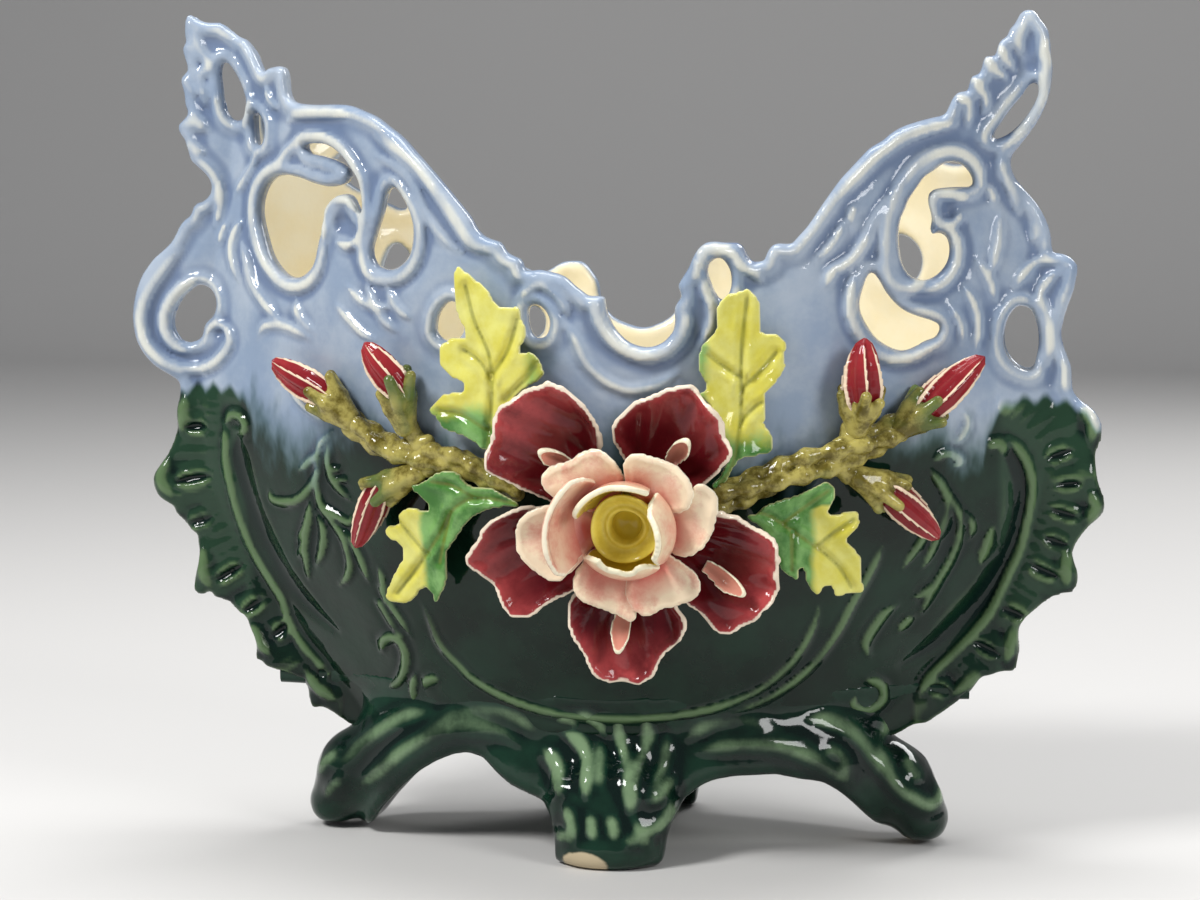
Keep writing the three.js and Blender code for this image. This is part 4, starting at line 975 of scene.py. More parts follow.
# The moulded lines, each: half width, height, how long its ends taper, and its points.
base_lines = [
    (3.5, 2.5, 0.25, [(4.9, 51.3), (6.4, 42.1), (10.1, 33), (10.9, 20.9)]),
    (4.1, 2.7, 0.25, [(14.6, 50.5), (15.4, 42.1), (13.1, 30), (12.4, 19.3)]),
    (4.1, 2.7, 0.25, [(-13.1, 44.4), (-7.8, 40.6), (-4.1, 34.5), (-3.4, 24.7)]),
    (4.1, 2.5, 0.25, [(-19.9, 37.6), (-15.4, 32.3), (-13.1, 23.9)]),
    (3.2, 2.1, 0.3, [(-9.3, 51.3), (-1.8, 47.5), (1.9, 42.1)]),
    (3.0, 1.9, 0.3, [(-1.8, 42.1), (0.4, 36), (1.9, 27)]),
    (3.0, 1.7, 0.3, [(-16, 48), (-11.5, 48.5), (-7.5, 45.5)]),
    (3.8, 2.3, 0.3, [(22.1, 43.7), (21.4, 36), (19.1, 27), (16.9, 22.4)]),
    (3.2, 2.1, 0.3, [(25.1, 30.7), (22.1, 25.4), (18.4, 22.4)]),
    (3.5, 2.1, 0.3, [(-11, 21), (-8.6, 15.5), (-6.4, 11)]),
    (3.2, 2.1, 0.3, [(-1.8, 19.3), (-1.1, 14), (0.4, 11)]),
    (3.2, 2.1, 0.3, [(4.9, 19.3), (6.4, 14), (7.2, 11)]),
    (3.5, 2.1, 0.25, [(12.5, 18.3), (16, 14), (21, 14.5), (24.5, 18.6), (25, 24)]),
    (4.6, 1.7, 0.25, [(-22, 43), (-30, 48), (-42, 49.5), (-54, 47), (-64, 42)]),
    (4.1, 1.5, 0.25, [(28, 42), (36, 46), (48, 47.5), (60, 44)]),
    (3.2, 1.5, 0.3, [(-15, 8.5), (-11, 11), (-6.5, 10)]),
    (3.2, 1.5, 0.3, [(10, 10), (15, 11), (19.5, 8.5)]),
    (4.6, 1.7, 0.2, [(-28, 39), (-36, 43.5), (-48, 44), (-60, 41), (-72, 34), (-82, 25),
                     (-92, 17)]),
    (4.3, 1.5, 0.25, [(-60, 47), (-72, 45), (-82, 39), (-92, 31), (-101, 22)]),
    (4.6, 1.7, 0.2, [(33, 38), (42, 40), (54, 40), (66, 37), (76, 31), (84, 24)]),
    (4.1, 1.9, 0.15, [(93, 37), (95.5, 41.5), (100.5, 43.5), (105.3, 43.8), (109, 40.5), (112, 37)]),
    (4.1, 1.9, 0.1, [(93, 37), (95, 30), (99, 24), (104.5, 19), (110, 15.5), (114, 17),
                     (115.5, 22), (114, 29), (110.5, 35.5), (105, 39)]),
    (3.5, 1.7, 0.3, [(101, 33), (104, 28), (108, 23.5)]),
    (4.1, 1.7, 0.2, [(68, 47), (76, 46), (84, 41), (90, 34), (93, 27)]),
    (3.5, 1.7, 0.2, [(74, 38), (80, 35), (82, 29.5), (78.5, 26.5)]),
    (3.5, 1.7, 0.3, [(-98, 30), (-104, 25.5), (-108, 19)]),
    (3.2, 1.5, 0.3, [(-96, 22), (-101, 17), (-105, 12)]),
]


def capsule(p, a, b, radius_a, radius_b, squash=(1, 1, 1)):
    """Depth inside a tapering limb of clay."""
    a, b = np.array(a, float), np.array(b, float)
    squash = np.array(squash)
    d = [(p[k] - a[k]) * squash[k] for k in range(3)]
    e = (b - a) * squash
    t = np.clip(sum(d[k] * e[k] for k in range(3)) / (e @ e), 0, 1)
    gap = np.sqrt(sum((d[k] - t * e[k]) ** 2 for k in range(3)))
    return radius_a + (radius_b - radius_a) * t - gap


def grid_box(low, high, step):
    """The places of an upright block of space, as three arrays."""
    axes = [np.arange(a, b + step, step) for a, b in zip(low, high)]
    return np.meshgrid(*axes, indexing="ij")


base_half_length, base_half_depth = 92.0, 44.0
skirt_height = 45
shoulder_start, shoulder_rise = 40, 13
toe_at = 4  # how far right of the middle the short front and back feet stand
limb_squash = (1, 0.72, 1)
toe_squash = (0.72, 1.35, 1)


def base_skirt(X, Y, Z):
    """The oval skirt: it spreads to the table, runs up into the body and is hollow within."""
    around = np.sqrt((X / base_half_length) ** 2 + (Y / base_half_depth) ** 2) + 1e-6
    slope = np.sqrt((X / base_half_length**2) ** 2 + (Y / base_half_depth**2) ** 2) / around
    out = (around - 1) / slope
    drop = np.clip(1 - Z / skirt_height, 0, 1)
    foot = np.clip(1 - (np.abs(X - toe_at) / 25) ** 2, 0, 1) ** 0.7
    belly = np.sin(np.pi * np.clip(Z / skirt_height, 0, 1))
    reach = 2.0 * drop + 15.0 * foot * drop**1.25 + 1.5 * belly
    face, slant = wall_face(X, Z), wall_slant(X, Z)
    rise = soft_step(np.clip((Z - shoulder_start) / shoulder_rise, 0, 1))
    shoulder = (face + 1.2 * (1 - rise) - np.abs(Y)) / slant
    skirt = (reach - out) * (1 - rise) + shoulder * rise
    behind = out + 8.5 - reach * 0.9
    core = (face - 4.0 - np.abs(Y)) / slant
    under = np.where(Z > skirt_height, -core, np.where(Z < shoulder_start, behind, far_off))
    arch = np.minimum((Z - front_skirt(X)) * 0.8, 12)
    return rounded(rounded(skirt, under, 3.0), arch, 3.5)


def base_limbs(place):
    """The two long feet, each a thigh and a shin, hollowed together under the body."""
    limbs = []
    for side, knee, toe in ((-1, 96, 103), (1, 98, 107)):
        hip, bend, sole = (side * 66, 0, 42), (side * knee, 0, 21), (side * toe, 0, 9)
        thigh = capsule(place, hip, bend, 15, 12.5, limb_squash)
        shin = capsule(place, bend, sole, 12, 9.5, limb_squash)
        limbs.append(joined(thigh, shin, 5))
    hollowed = capsule(place, (-64, 0, 26), (64, 0, 26), 22, 22, (0.9, 0.8, 1))
    return np.minimum(np.maximum(*limbs), -hollowed)


def foot_base():
    step = 1.35
    low, high = (-124, -68, -4), (124, 68, 62)
    X, Y, Z = grid_box(low, high, step)
    pattern = Sheet((low[0], low[2]), (high[0], high[2]), step)
    for wide, tall, taper, line in base_lines:
        pattern.stroke(line, wide, tall, (taper, taper), lean=0.15)
    relief = pattern.relief
    hollow = np.clip((pattern.blurred(relief, 4) - relief) / 0.9, 0, 1)
    ridge = np.clip((relief - pattern.blurred(relief, 5)) / 1.3, 0, 1)
    raised = relief[:, None, :] * (Y < 0) + 0.5 * relief[::-1][:, None, :] * (Y >= 0)
    toes = [
        capsule((X, Y, Z), (toe_at, side * 50, 20), (toe_at, side * 56, 6), 15, 11, toe_squash)
        for side in (-1, 1)
    ]
    bulk = joined(base_skirt(X, Y, Z), base_limbs((X, Y, Z)), 6)
    bulk = joined(bulk, np.maximum(*toes), 5) + 0.55 * raised
    bulk = np.minimum(bulk, rounded(np.minimum(bulk, 20), Z - 0.1, 3.6))
    bulk = np.minimum(bulk, 57.5 - Z)
    points, faces = skin(bulk, low, step)
    points = eased(points, faces, 2, 0.4)
    points[:, 2] = np.maximum(points[:, 2], 0)
    x, y, z = points.T
    worn = np.clip(1 - np.hypot((x + 4) / 13, (z - 2) / 7), 0, 1) * (y < -50)
    bare = np.clip((front_skirt(x) - z - 0.4) / 1.2, 0, 1)
    tones = {
        "ridge": pattern.sample(ridge, x, z),
        "hollow": pattern.sample(hollow, x, z),
        "bare": np.clip(np.maximum(worn * 1.7, bare), 0, 1),
    }
    piece("foot_base_glazed", points, faces, tones, base_glaze(), ["foot_base"])


base_green = (0.0035, 0.014, 0.009), (0.009, 0.036, 0.021)
base_pooled = (0.003, 0.010, 0.008)
base_thin = (0.17, 0.26, 0.14)
bare_clay = (0.52, 0.43, 0.28)


def base_glaze():
    """Bottle green, paler on the ridges, with bare clay where it has worn or never ran."""
    material, tree, shader = new_glaze("base glaze")
    clouds = noise(tree, 45, 5, 0.6)
    green = mixed(tree, spread(tree, clouds, 0.3, 0.7), *base_green)
    green = mixed(tree, spread(tree, tone(tree, "hollow"), 0.1, 0.8), green, base_pooled)
    breaking = math_of(
        tree, "MULTIPLY", tone(tree, "ridge"), spread(tree, clouds, 0.3, 0.6, 0.4, 0.9)
    )
    green = mixed(tree, spread(tree, breaking, 0.1, 0.85), green, base_thin)
    patch = math_of(tree, "ADD", tone(tree, "bare"), math_of(tree, "MULTIPLY", clouds, 0.9))
    shown = spread(tree, patch, 1.0, 1.2)
    wire(tree, mixed(tree, shown, green, bare_clay), shader.inputs["Base Color"])
    wire(tree, spread(tree, shown, 0, 1, 0.08, 0.5), shader.inputs["Roughness"])
    dimpled(tree, shader, 110, 0.0002)
    return material


foot_base()

# ------------------------------------------------------------------ flower
# Built petal by petal from thin rolled clay on a small pad luted to the wall, then painted:
# crimson outside, pink and cream inside, with a yellow throat. Every thin edge fires cream.
flower_x, flower_height = 14.0, 121.0
flower_lean = math.radians(10)
flower_spread = 1.035
pad_radius = 17.0
pad_gap = 0.3
pad_top = flower_height + pad_radius * math.cos(flower_lean)
flower_y = -(wall_face(0.0, pad_top) + pad_gap - pad_radius * math.sin(flower_lean))
flower_at = np.array([flower_x, flower_y, flower_height])


def on_flower(points):
    """From the flower's own frame, X across, Y up and Z towards the viewer, to the vessel."""
    x, y, z = points.T * np.array([[flower_spread], [flower_spread], [1.0]])
    c, s = math.cos(flower_lean), math.sin(flower_lean)
    return np.stack([x, -s * y - c * z, c * y - s * z], axis=1) + flower_at


def slab(sheet, thick, edge=1.2):
    """The clay sheet's own solid, flat: points across, along and out, with its faces."""
    reach = thick + float(np.abs(sheet.relief).max()) + 2.5 * sheet.step
    out = np.arange(-reach, reach + sheet.step, sheet.step * 0.8)
    w = out[None, None, :]
    half = thick / 2
    top = half + sheet.relief[:, :, None] - w
    under = w + half
    deep = np.minimum(sheet.edge, 6)[:, :, None] + 0 * w
    bulk = np.minimum(rounded(deep, top, edge), rounded(deep, under, edge))
    points, faces = skin(bulk, (0, 0, 0), 1.0)
    points = points * np.array([sheet.step, sheet.step, sheet.step * 0.8])
    points += np.array([sheet.low[0], sheet.low[1], out[0]])
    return eased(points, faces, 1, 0.4), faces


def petal_sheet(outline, step=0.8):
    """Rolled clay cut to an outline."""
    places = np.array(outline, float)
    sheet = Sheet(places.min(0) - 3 * step, places.max(0) + 3 * step, step)
    sheet.trim(outline, reach=8)
    return sheet


def petal_axes(sheet, turn):
    """How far each place of a petal's pattern is out from the flower's middle, and across."""
    a = math.radians(turn)
    along = sheet.U * math.cos(a) + sheet.V * math.sin(a)
    across = sheet.V * math.cos(a) - sheet.U * math.sin(a)
    return along, across


def rolled_rim(sheet, height, width):
    """The rim of a petal, left thicker than its middle."""
    sheet.relief += height * np.exp(-(((sheet.edge - 1.7) / width) ** 2))


def lifted(sheet, points, lift):
    """A flat petal with each place raised towards the viewer."""
    u, v, w = points.T
    return np.stack([u, v, w + sheet.sample(lift, u, v)], axis=1)


def petal(node, points, faces, tones, glaze):
    piece(f"{node}_painted", on_flower(points), faces, tones, glaze, [node])


def streaky_glaze(name, deep, thin, rim, throat=None, roughness=0.1):
    """Painted glaze: deep where it pools, thin towards the tip, and the clay at the rim."""
    material, tree, shader = new_glaze(name, roughness)
    clouds = noise(tree, 90, 5, 0.65)
    brushed = spread(tree, clouds, 0.25, 0.65, 0.3, 1.1)
    colour = mixed(tree, math_of(tree, "MULTIPLY", tone(tree, "thin"), brushed, True), deep, thin)
    if throat:
        colour = mixed(tree, tone(tree, "throat"), colour, throat)
    edge = math_of(tree, "ADD", tone(tree, "rim"), math_of(tree, "MULTIPLY", clouds, 0.6))
    colour = mixed(tree, spread(tree, edge, 0.72, 1.05), colour, rim)
    wire(tree, colour, shader.inputs["Base Color"])
    dimpled(tree, shader, 160, 0.0003)
    return material


# The painted glazes, each: where it pools, where it is thin, and at the rim.
crimson = streaky_glaze(
    "crimson glaze", (0.085, 0.004, 0.007), (0.40, 0.06, 0.06), (0.80, 0.68, 0.54)
)
rose = streaky_glaze("rose glaze", (0.58, 0.13, 0.11), (0.84, 0.69, 0.49), (0.86, 0.78, 0.60))
pale = streaky_glaze(
    "pale glaze", (0.68, 0.24, 0.18), (0.84, 0.71, 0.48), (0.87, 0.81, 0.60),
    throat=(0.72, 0.56, 0.07),
)
lemon = streaky_glaze("lemon glaze", (0.55, 0.40, 0.03), (0.80, 0.66, 0.12), (0.86, 0.80, 0.44))

# Each outer petal: the way it points in degrees, and its outline seen from in front.
outer_petals = [
    (134, [(-45.5, 22), (-45, 26), (-43.5, 29.5), (-42.8, 34), (-42.3, 37), (-40.5, 40), (-36.5, 42.5),
           (-33.5, 44.8), (-30, 47), (-26.5, 48), (-24, 50), (-21, 49), (-17.5, 47.3), (-14.5, 44.5),
           (-11.5, 41), (-9.5, 37), (-8, 32.5), (-7.5, 28), (-8, 20), (-8, 10), (-11, 5), (-17, 3),
           (-24, 5.5), (-31, 9.5), (-34.5, 11.5), (-38, 14), (-42.5, 17), (-45, 19.5)]),
    (63, [(-5.5, 28.5), (-5.3, 32), (-4, 36), (-1, 39), (3, 42.5), (9, 45), (14.5, 47), (19, 47.8),
          (22.5, 46.5), (24, 44.5), (27, 41.5), (30, 38.8), (31.5, 35.2), (31.7, 31.3), (34.3, 26.7),
          (33.3, 22.8), (31, 20), (28, 16.5), (21, 10), (14, 4), (8, 3), (3, 6), (0, 13), (-3, 22)]),
    (-23, [(28.5, 5.7), (35, 5), (38.5, 2.8), (43.5, 0.4), (47, -1.8), (48.5, -5.7), (48.8, -10),
           (48, -14.3), (48.5, -18.5), (46.5, -23.5), (43, -27), (40.2, -30), (36, -32),
           (32.5, -34.5), (28, -34.1), (24, -30.6), (20.3, -27.7), (16.5, -25), (10, -15),
           (7, -7), (10, -1), (18, 4)]),
    (-91, [(-19.5, -22.8), (-21, -27), (-20.8, -32), (-19.5, -36.3), (-17.4, -39.8), (-15.3, -43.4),
           (-13.9, -47), (-11, -50.5), (-6.8, -52.3), (-2.5, -51.9), (1.8, -52.5), (5.3, -51.2),
           (8.2, -49), (9.6, -45.5), (11.7, -42), (15.3, -39.1), (17.8, -35.5), (18.8, -31.3),
           (17.8, -28.4), (14.6, -24.9), (9, -16), (5, -8), (-3, -7), (-9, -13), (-14, -18)]),
    (198, [(-32.7, 7.1), (-36.6, 6.4), (-40.2, 5), (-44.4, 2.8), (-47.3, 0), (-49, -3.6),
           (-51.5, -7.1), (-53.3, -10.3), (-52.6, -13.5), (-48.7, -16.4), (-45.9, -19.2),
           (-43, -23.5), (-41.2, -27), (-38.7, -29.9), (-34.5, -30.2), (-30.2, -29.2),
           (-26.7, -26.7), (-22.4, -24.5), (-18, -22.8), (-12, -17), (-7, -9), (-8, -1), (-18, 4)]),
]
for n, (turn, outline) in enumerate(outer_petals, 1):
    sheet = petal_sheet(outline)
    along, across = petal_axes(sheet, turn)
    open_out = np.clip((along - 10) / 42, 0, 1)
    waves = 1.1 * np.sin(across * 0.33 + n * 1.7) + 0.7 * np.sin(across * 0.61 - along * 0.2 + n)
    lift = (
        5.0
        + 9.5 * open_out**1.5
        + 0.013 * across**2 * np.clip((along - 6) / 22, 0, 1)
        + waves * open_out
        - 2.0 * np.exp(-((across / 5) ** 2)) * open_out
    )
    for k in (-2, -1, 1, 2):
        b = math.radians(turn) + math.radians(k * 11)
        ray = [(far * math.cos(b), far * math.sin(b)) for far in (14, 30, 47)]
        sheet.stroke(ray, 1.6, -0.5, (0.3, 0.5))
    rolled_rim(sheet, 0.9, 1.3)
    points, faces = slab(sheet, 2.3, 1.0)
    u, v, w = points.T
    near = sheet.sample(sheet.edge, u, v)
    run = u * math.cos(math.radians(turn)) + v * math.sin(math.radians(turn))
    tones = {
        "thin": np.clip((run - 33) / 22, 0, 1) + 0.5 * np.clip(1 - near / 5, 0, 1),
        "rim": np.clip(1.25 - near / 1.9, 0, 1) + 0.5 * (w < -0.9),
    }
    petal(f"outer_petal_{n}", lifted(sheet, points, lift), faces, tones, crimson)

# Each middle petal: the way it points, how far it lies over its neighbours, and its outline.
middle_petals = [
    (124, 1.0, [(-26.7, 17), (-26.3, 20), (-23, 22.8), (-18, 24.2), (-15.3, 26.3), (-11.7, 28),
                (-8, 28.6), (-4.5, 27), (-2, 24.2), (-0.4, 21.3), (0.5, 16), (-2, 9), (-7, 4),
                (-14, 6), (-20, 10), (-24.5, 13)]),
    (54, 2.0, [(-0.4, 24.2), (1.8, 27.4), (4.6, 28), (9, 27), (14, 24.9), (18.8, 22),
               (21.7, 18.5), (22.7, 14.2), (21.7, 10), (18.8, 7), (14.6, 5.7), (9, 4), (3, 6),
               (0, 12), (-0.8, 18)]),
    (9, 0.0, [(23, 17.8), (26.7, 17), (29.2, 14.2), (30.2, 10), (29.2, 4.3), (27.4, -1.4),
              (23.8, -5.7), (20.3, -7.8), (16, -8.5), (10, -6), (7, 0), (9, 6), (16, 12)]),
    (-59, 1.2, [(-1, -15.6), (-1.4, -19.2), (0.4, -23.5), (3.9, -26.7), (7.5, -27.4),
                (11.7, -24.9), (16.7, -23.8), (21, -22), (23.8, -19.2), (24.5, -15),
                (23, -11.4), (19.5, -9.2), (14, -7), (8, -4), (2, -7)]),
    (-110, 0.0, [(-15.3, -10), (-17.4, -13.5), (-18, -17), (-16.7, -21.3), (-13.2, -24.2),
                 (-8.2, -26.3), (-3.2, -27.7), (1, -29.5), (3.2, -28.4), (4, -24), (3, -17),
                 (1, -9), (-5, -5), (-11, -6)]),
    (189, 1.5, [(-23.1, 10.3), (-28, 9.6), (-32.4, 7.1), (-35.2, 2.8), (-36, -1.4), (-35.9, -5.7),
                (-33.8, -9.2), (-30.2, -12.8), (-25.2, -15.6), (-21, -16), (-17.4, -13.5),
                (-12, -8), (-7, -2), (-9, 5), (-16, 9)]),
]
for n, (turn, over, outline) in enumerate(middle_petals, 1):
    sheet = petal_sheet(outline, 0.7)
    along, across = petal_axes(sheet, turn)
    lift = (
        8.6 + over
        + 13.0 * (1 - np.exp(-np.clip(along - 6, 0, 50) / 13))
        + 0.016 * across**2 * np.clip((along - 4) / 14, 0, 1)
        + 0.5 * np.sin(across * 0.5 + n * 2.1) * np.clip((along - 14) / 14, 0, 1)
        - 0.06 * np.clip(along - 22, 0, 30) ** 1.5
    )
    rolled_rim(sheet, 0.6, 1.2)
    points, faces = slab(sheet, 2.2, 1.0)
    u, v, w = points.T
    near = sheet.sample(sheet.edge, u, v)
    tones = {
        "thin": np.clip((np.hypot(u, v) - 14) / 11, 0, 1) + 0.5 * np.clip(1 - near / 5, 0, 1),
        "rim": np.clip(1 - near / 1.3, 0, 1),
    }
    petal(f"middle_petal_{n}", lifted(sheet, points, lift), faces, tones, rose)


def swept(points, start, lean, curl, turn, cup=0.0):
    """Bends a flat petal up its length from a root in the flower. Its own length runs along
    the second axis, leaning out by degrees that change by curl along it."""
    u, v, w = points.T
    steps = np.linspace(0, max(v.max(), 1), 60)
    tilt = np.radians(lean + curl * steps / steps[-1])
    out = start[0] + np.concatenate([[0], np.cumsum(np.cos(tilt[:-1]) * np.diff(steps))])
    up = start[1] + np.concatenate([[0], np.cumsum(np.sin(tilt[:-1]) * np.diff(steps))])
    here = np.interp(v, steps, tilt)
    lift = w + cup * u**2
    radius = np.interp(v, steps, out) - np.sin(here) * lift
    height = np.interp(v, steps, up) + np.cos(here) * lift
    a = math.radians(turn)
    return np.stack(
        [radius * math.cos(a) - u * math.sin(a), radius * math.sin(a) + u * math.cos(a), height],
        axis=1,
    )


tongue = [(0, -1), (3, -0.5), (4.2, 4), (4.8, 9), (4.2, 14), (2.2, 17.5), (0, 18.6), (-2.4, 17.2),
          (-4.2, 13.5), (-4.6, 8.5), (-4, 4), (-3, -0.5)]
# Each curled petal: the way it points, its lean and curl in degrees, and where its root is.
curled_petals = [
    (134, 18, 62, (26, 9.0)), (57, 18, 58, (25, 9.0)), (-28, 8, 50, (27, 9.0)),
    (-95, 12, 55, (26, 8.5)),
]
for n, (turn, lean, curl, root) in enumerate(curled_petals, 1):
    sheet = petal_sheet(tongue, 0.6)
    points, faces = slab(sheet, 2.0, 0.9)
    near = sheet.sample(sheet.edge, points[:, 0], points[:, 1])
    tones = {
        "thin": np.clip(points[:, 2] * -0.6 + 0.75, 0, 1),
        "rim": np.clip(1.1 - near / 1.6, 0, 1),
    }
    stood = swept(points * [0.8, 1.05, 1], root, lean, curl, turn, cup=0.3)
    petal(f"curled_petal_{n}", stood, faces[:, ::-1], tones, pale)

cup_outlines = [
    [(-11, 0), (-6, -1), (0, -1), (6, -1), (11, 0), (13, 8), (13.5, 16), (12, 21), (7, 24.5),
     (1, 25), (-5, 24.3), (-10, 22), (-13, 16), (-13, 8)],
    [(-9, 0), (0, -1), (9, 0), (12, 8), (12.5, 15), (10.5, 20), (5, 21.5), (1, 19.5), (-3, 22),
     (-8, 21), (-11.5, 16), (-11.5, 8)],
    [(-8, 0), (0, -1), (8, 0), (11, 7), (11.5, 15), (9, 21.5), (3, 24.5), (-3, 24), (-9, 21),
     (-11.5, 14), (-11, 7)],
    [(-10, 0), (0, -1), (10, 0), (12.5, 7), (13, 13), (11, 18), (7, 19), (4, 16.5), (0, 18.5),
     (-5, 18), (-9, 20), (-12.5, 14), (-12, 7)],
]
# Each cup petal stands round the throat: its bearing, and its radius at root, belly and lip.
cup_stances = [
    (168, 11.5, 19.0, 23.5), (107, 10.0, 15.0, 16.5), (4, 10.5, 15.5, 12.0), (262, 11.5, 16.0, 9.5)
]
cup_middle = 1.8  # the cup stands a little above the flower's middle
for n, (outline, (turn, root, belly, brim)) in enumerate(zip(cup_outlines, cup_stances), 1):
    sheet = petal_sheet(outline, 0.6)
    points, faces = slab(sheet, 2.1, 0.9)
    u, v, w = points.T
    near = sheet.sample(sheet.edge, u, v)
    rise = np.clip(v / 24, 0, 1)
    radius = root + (belly - root) * np.sin(np.clip(rise * 2.2, 0, 1) * np.pi / 2)
    radius = radius + (brim - belly) * np.clip((rise - 0.35) / 0.5, 0, 1) ** 1.3 - w
    swing = math.radians(turn) + u / np.maximum(0.5 * (root + belly), 6)
    stood = np.stack(
        [radius * np.cos(swing), radius * np.sin(swing) + cup_middle, 12.5 + v * 0.92], axis=1
    )
    tones = {"rim": np.clip(1 - near / 1.3, 0, 1)}
    if n == 1:
        tones["thin"] = np.clip(rise * 1.1 - 0.1, 0, 1)
    else:
        tones["thin"] = np.clip(rise * 1.3 - 0.05, 0, 1)
        tones["rim"] = tones["rim"] + 0.3 * (w < 0.3)
        tones["throat"] = np.clip((w - 0.2) / 0.6, 0, 1) * np.clip(1.5 - rise, 0, 1)
    glaze = rose if n == 1 else pale
    petal(f"cup_petal_{n}", stood, faces[:, ::-1], tones, glaze)


def turned(section, around, wobble=0.0):
    """A closed round form from its section of radius and height, a little out of true."""
    bm = bmesh.new()
    verts = [bm.verts.new((radius, 0, height)) for radius, height in section]
    edges = [bm.edges.new(pair) for pair in zip(verts, verts[1:])]
    bmesh.ops.spin(
        bm, geom=verts + edges, cent=(0, 0, 0), axis=(0, 0, 1), angle=2 * math.pi,
        steps=around, use_merge=True,
    )
    bmesh.ops.holes_fill(bm, edges=[edge for edge in bm.edges if edge.is_boundary], sides=0)
    bmesh.ops.recalc_face_normals(bm, faces=bm.faces[:])
    bm.verts.index_update()
    points = np.array([vert.co for vert in bm.verts])
    faces = [[vert.index for vert in face.verts] for face in bm.faces]
    bm.free()
    angle = np.arctan2(points[:, 1], points[:, 0])
    points[:, :2] *= (1 + wobble * np.sin(3 * angle + points[:, 2] * 0.4))[:, None]
    return points, faces


throat_section = through(
    [(6.0, 4), (7.2, 9), (9.0, 14), (10.4, 17.5), (11.2, 20), (11.0, 21), (10.0, 20.4),
     (8.6, 18.6), (7.3, 17.9), (6.5, 18.5), (5.8, 18.6), (5.3, 17.8), (4.8, 16),
     (4.0, 13), (0.4, 11.5)], 0.6
)
points, faces = turned(throat_section, 44, 0.025)
points[:, 1] += cup_middle
# Painted shade: the thin tone turns the throat deeper gold towards the bottom of its hole, where shade
# falls.
tones = {
    "thin": np.clip((points[:, 2] - 12) / 5, 0, 1),
    "rim": np.clip((points[:, 2] - 20) / 2.5, 0, 0.5),
}
petal("flower_centre", points, faces, tones, lemon)

pad_section = through([(16, 0.2), (17, 1.5), (17, 3), (16, 4.2), (0.5, 4.6)], 0.8)
points, faces = turned(pad_section, 48, 0.03)
pad_green = streaky_glaze("pad glaze", (0.01, 0.04, 0.025), (0.03, 0.09, 0.05), (0.2, 0.3, 0.2))
tones = {"thin": np.zeros(len(points)), "rim": np.zeros(len(points))}
piece("flower_pad_glazed", on_flower(points), faces, tones, pad_green, ["flower_pad"])

# ------------------------------------------------------------------ leaves
# Rolled clay leaves cut with a knife, veined, and bent on to the wall while soft. Yellow
# runs into green at their stalks and in the veins.
leaf_yellow = (0.62, 0.56, 0.07), (0.70, 0.68, 0.20)
leaf_green = (0.05, 0.17, 0.03), (0.20, 0.40, 0.12)
vein_brown = (0.16, 0.17, 0.015)
leaf_rim = (0.78, 0.76, 0.42)


def leaf_glaze():
    material, tree, shader = new_glaze("leaf glaze", 0.09)
    clouds = noise(tree, 80, 5, 0.6)
    yellow = mixed(tree, spread(tree, clouds, 0.3, 0.7), *leaf_yellow)
    green = mixed(tree, spread(tree, clouds, 0.35, 0.65), *leaf_green)
    cloudy = math_of(tree, "MULTIPLY", math_of(tree, "SUBTRACT", clouds, 0.5), 0.9)
    amount = math_of(tree, "ADD", tone(tree, "green"), cloudy)
    colour = mixed(tree, spread(tree, amount, 0.25, 0.8), yellow, green)
    colour = mixed(tree, spread(tree, tone(tree, "vein"), 0.2, 1.0, 0, 0.75), colour, vein_brown)
    colour = mixed(tree, spread(tree, tone(tree, "rim"), 0.3, 1.0, 0, 0.7), colour, leaf_rim)
    wire(tree, colour, shader.inputs["Base Color"])
    dimpled(tree, shader, 140, 0.0004)
    return material


glaze_of_leaves = leaf_glaze()
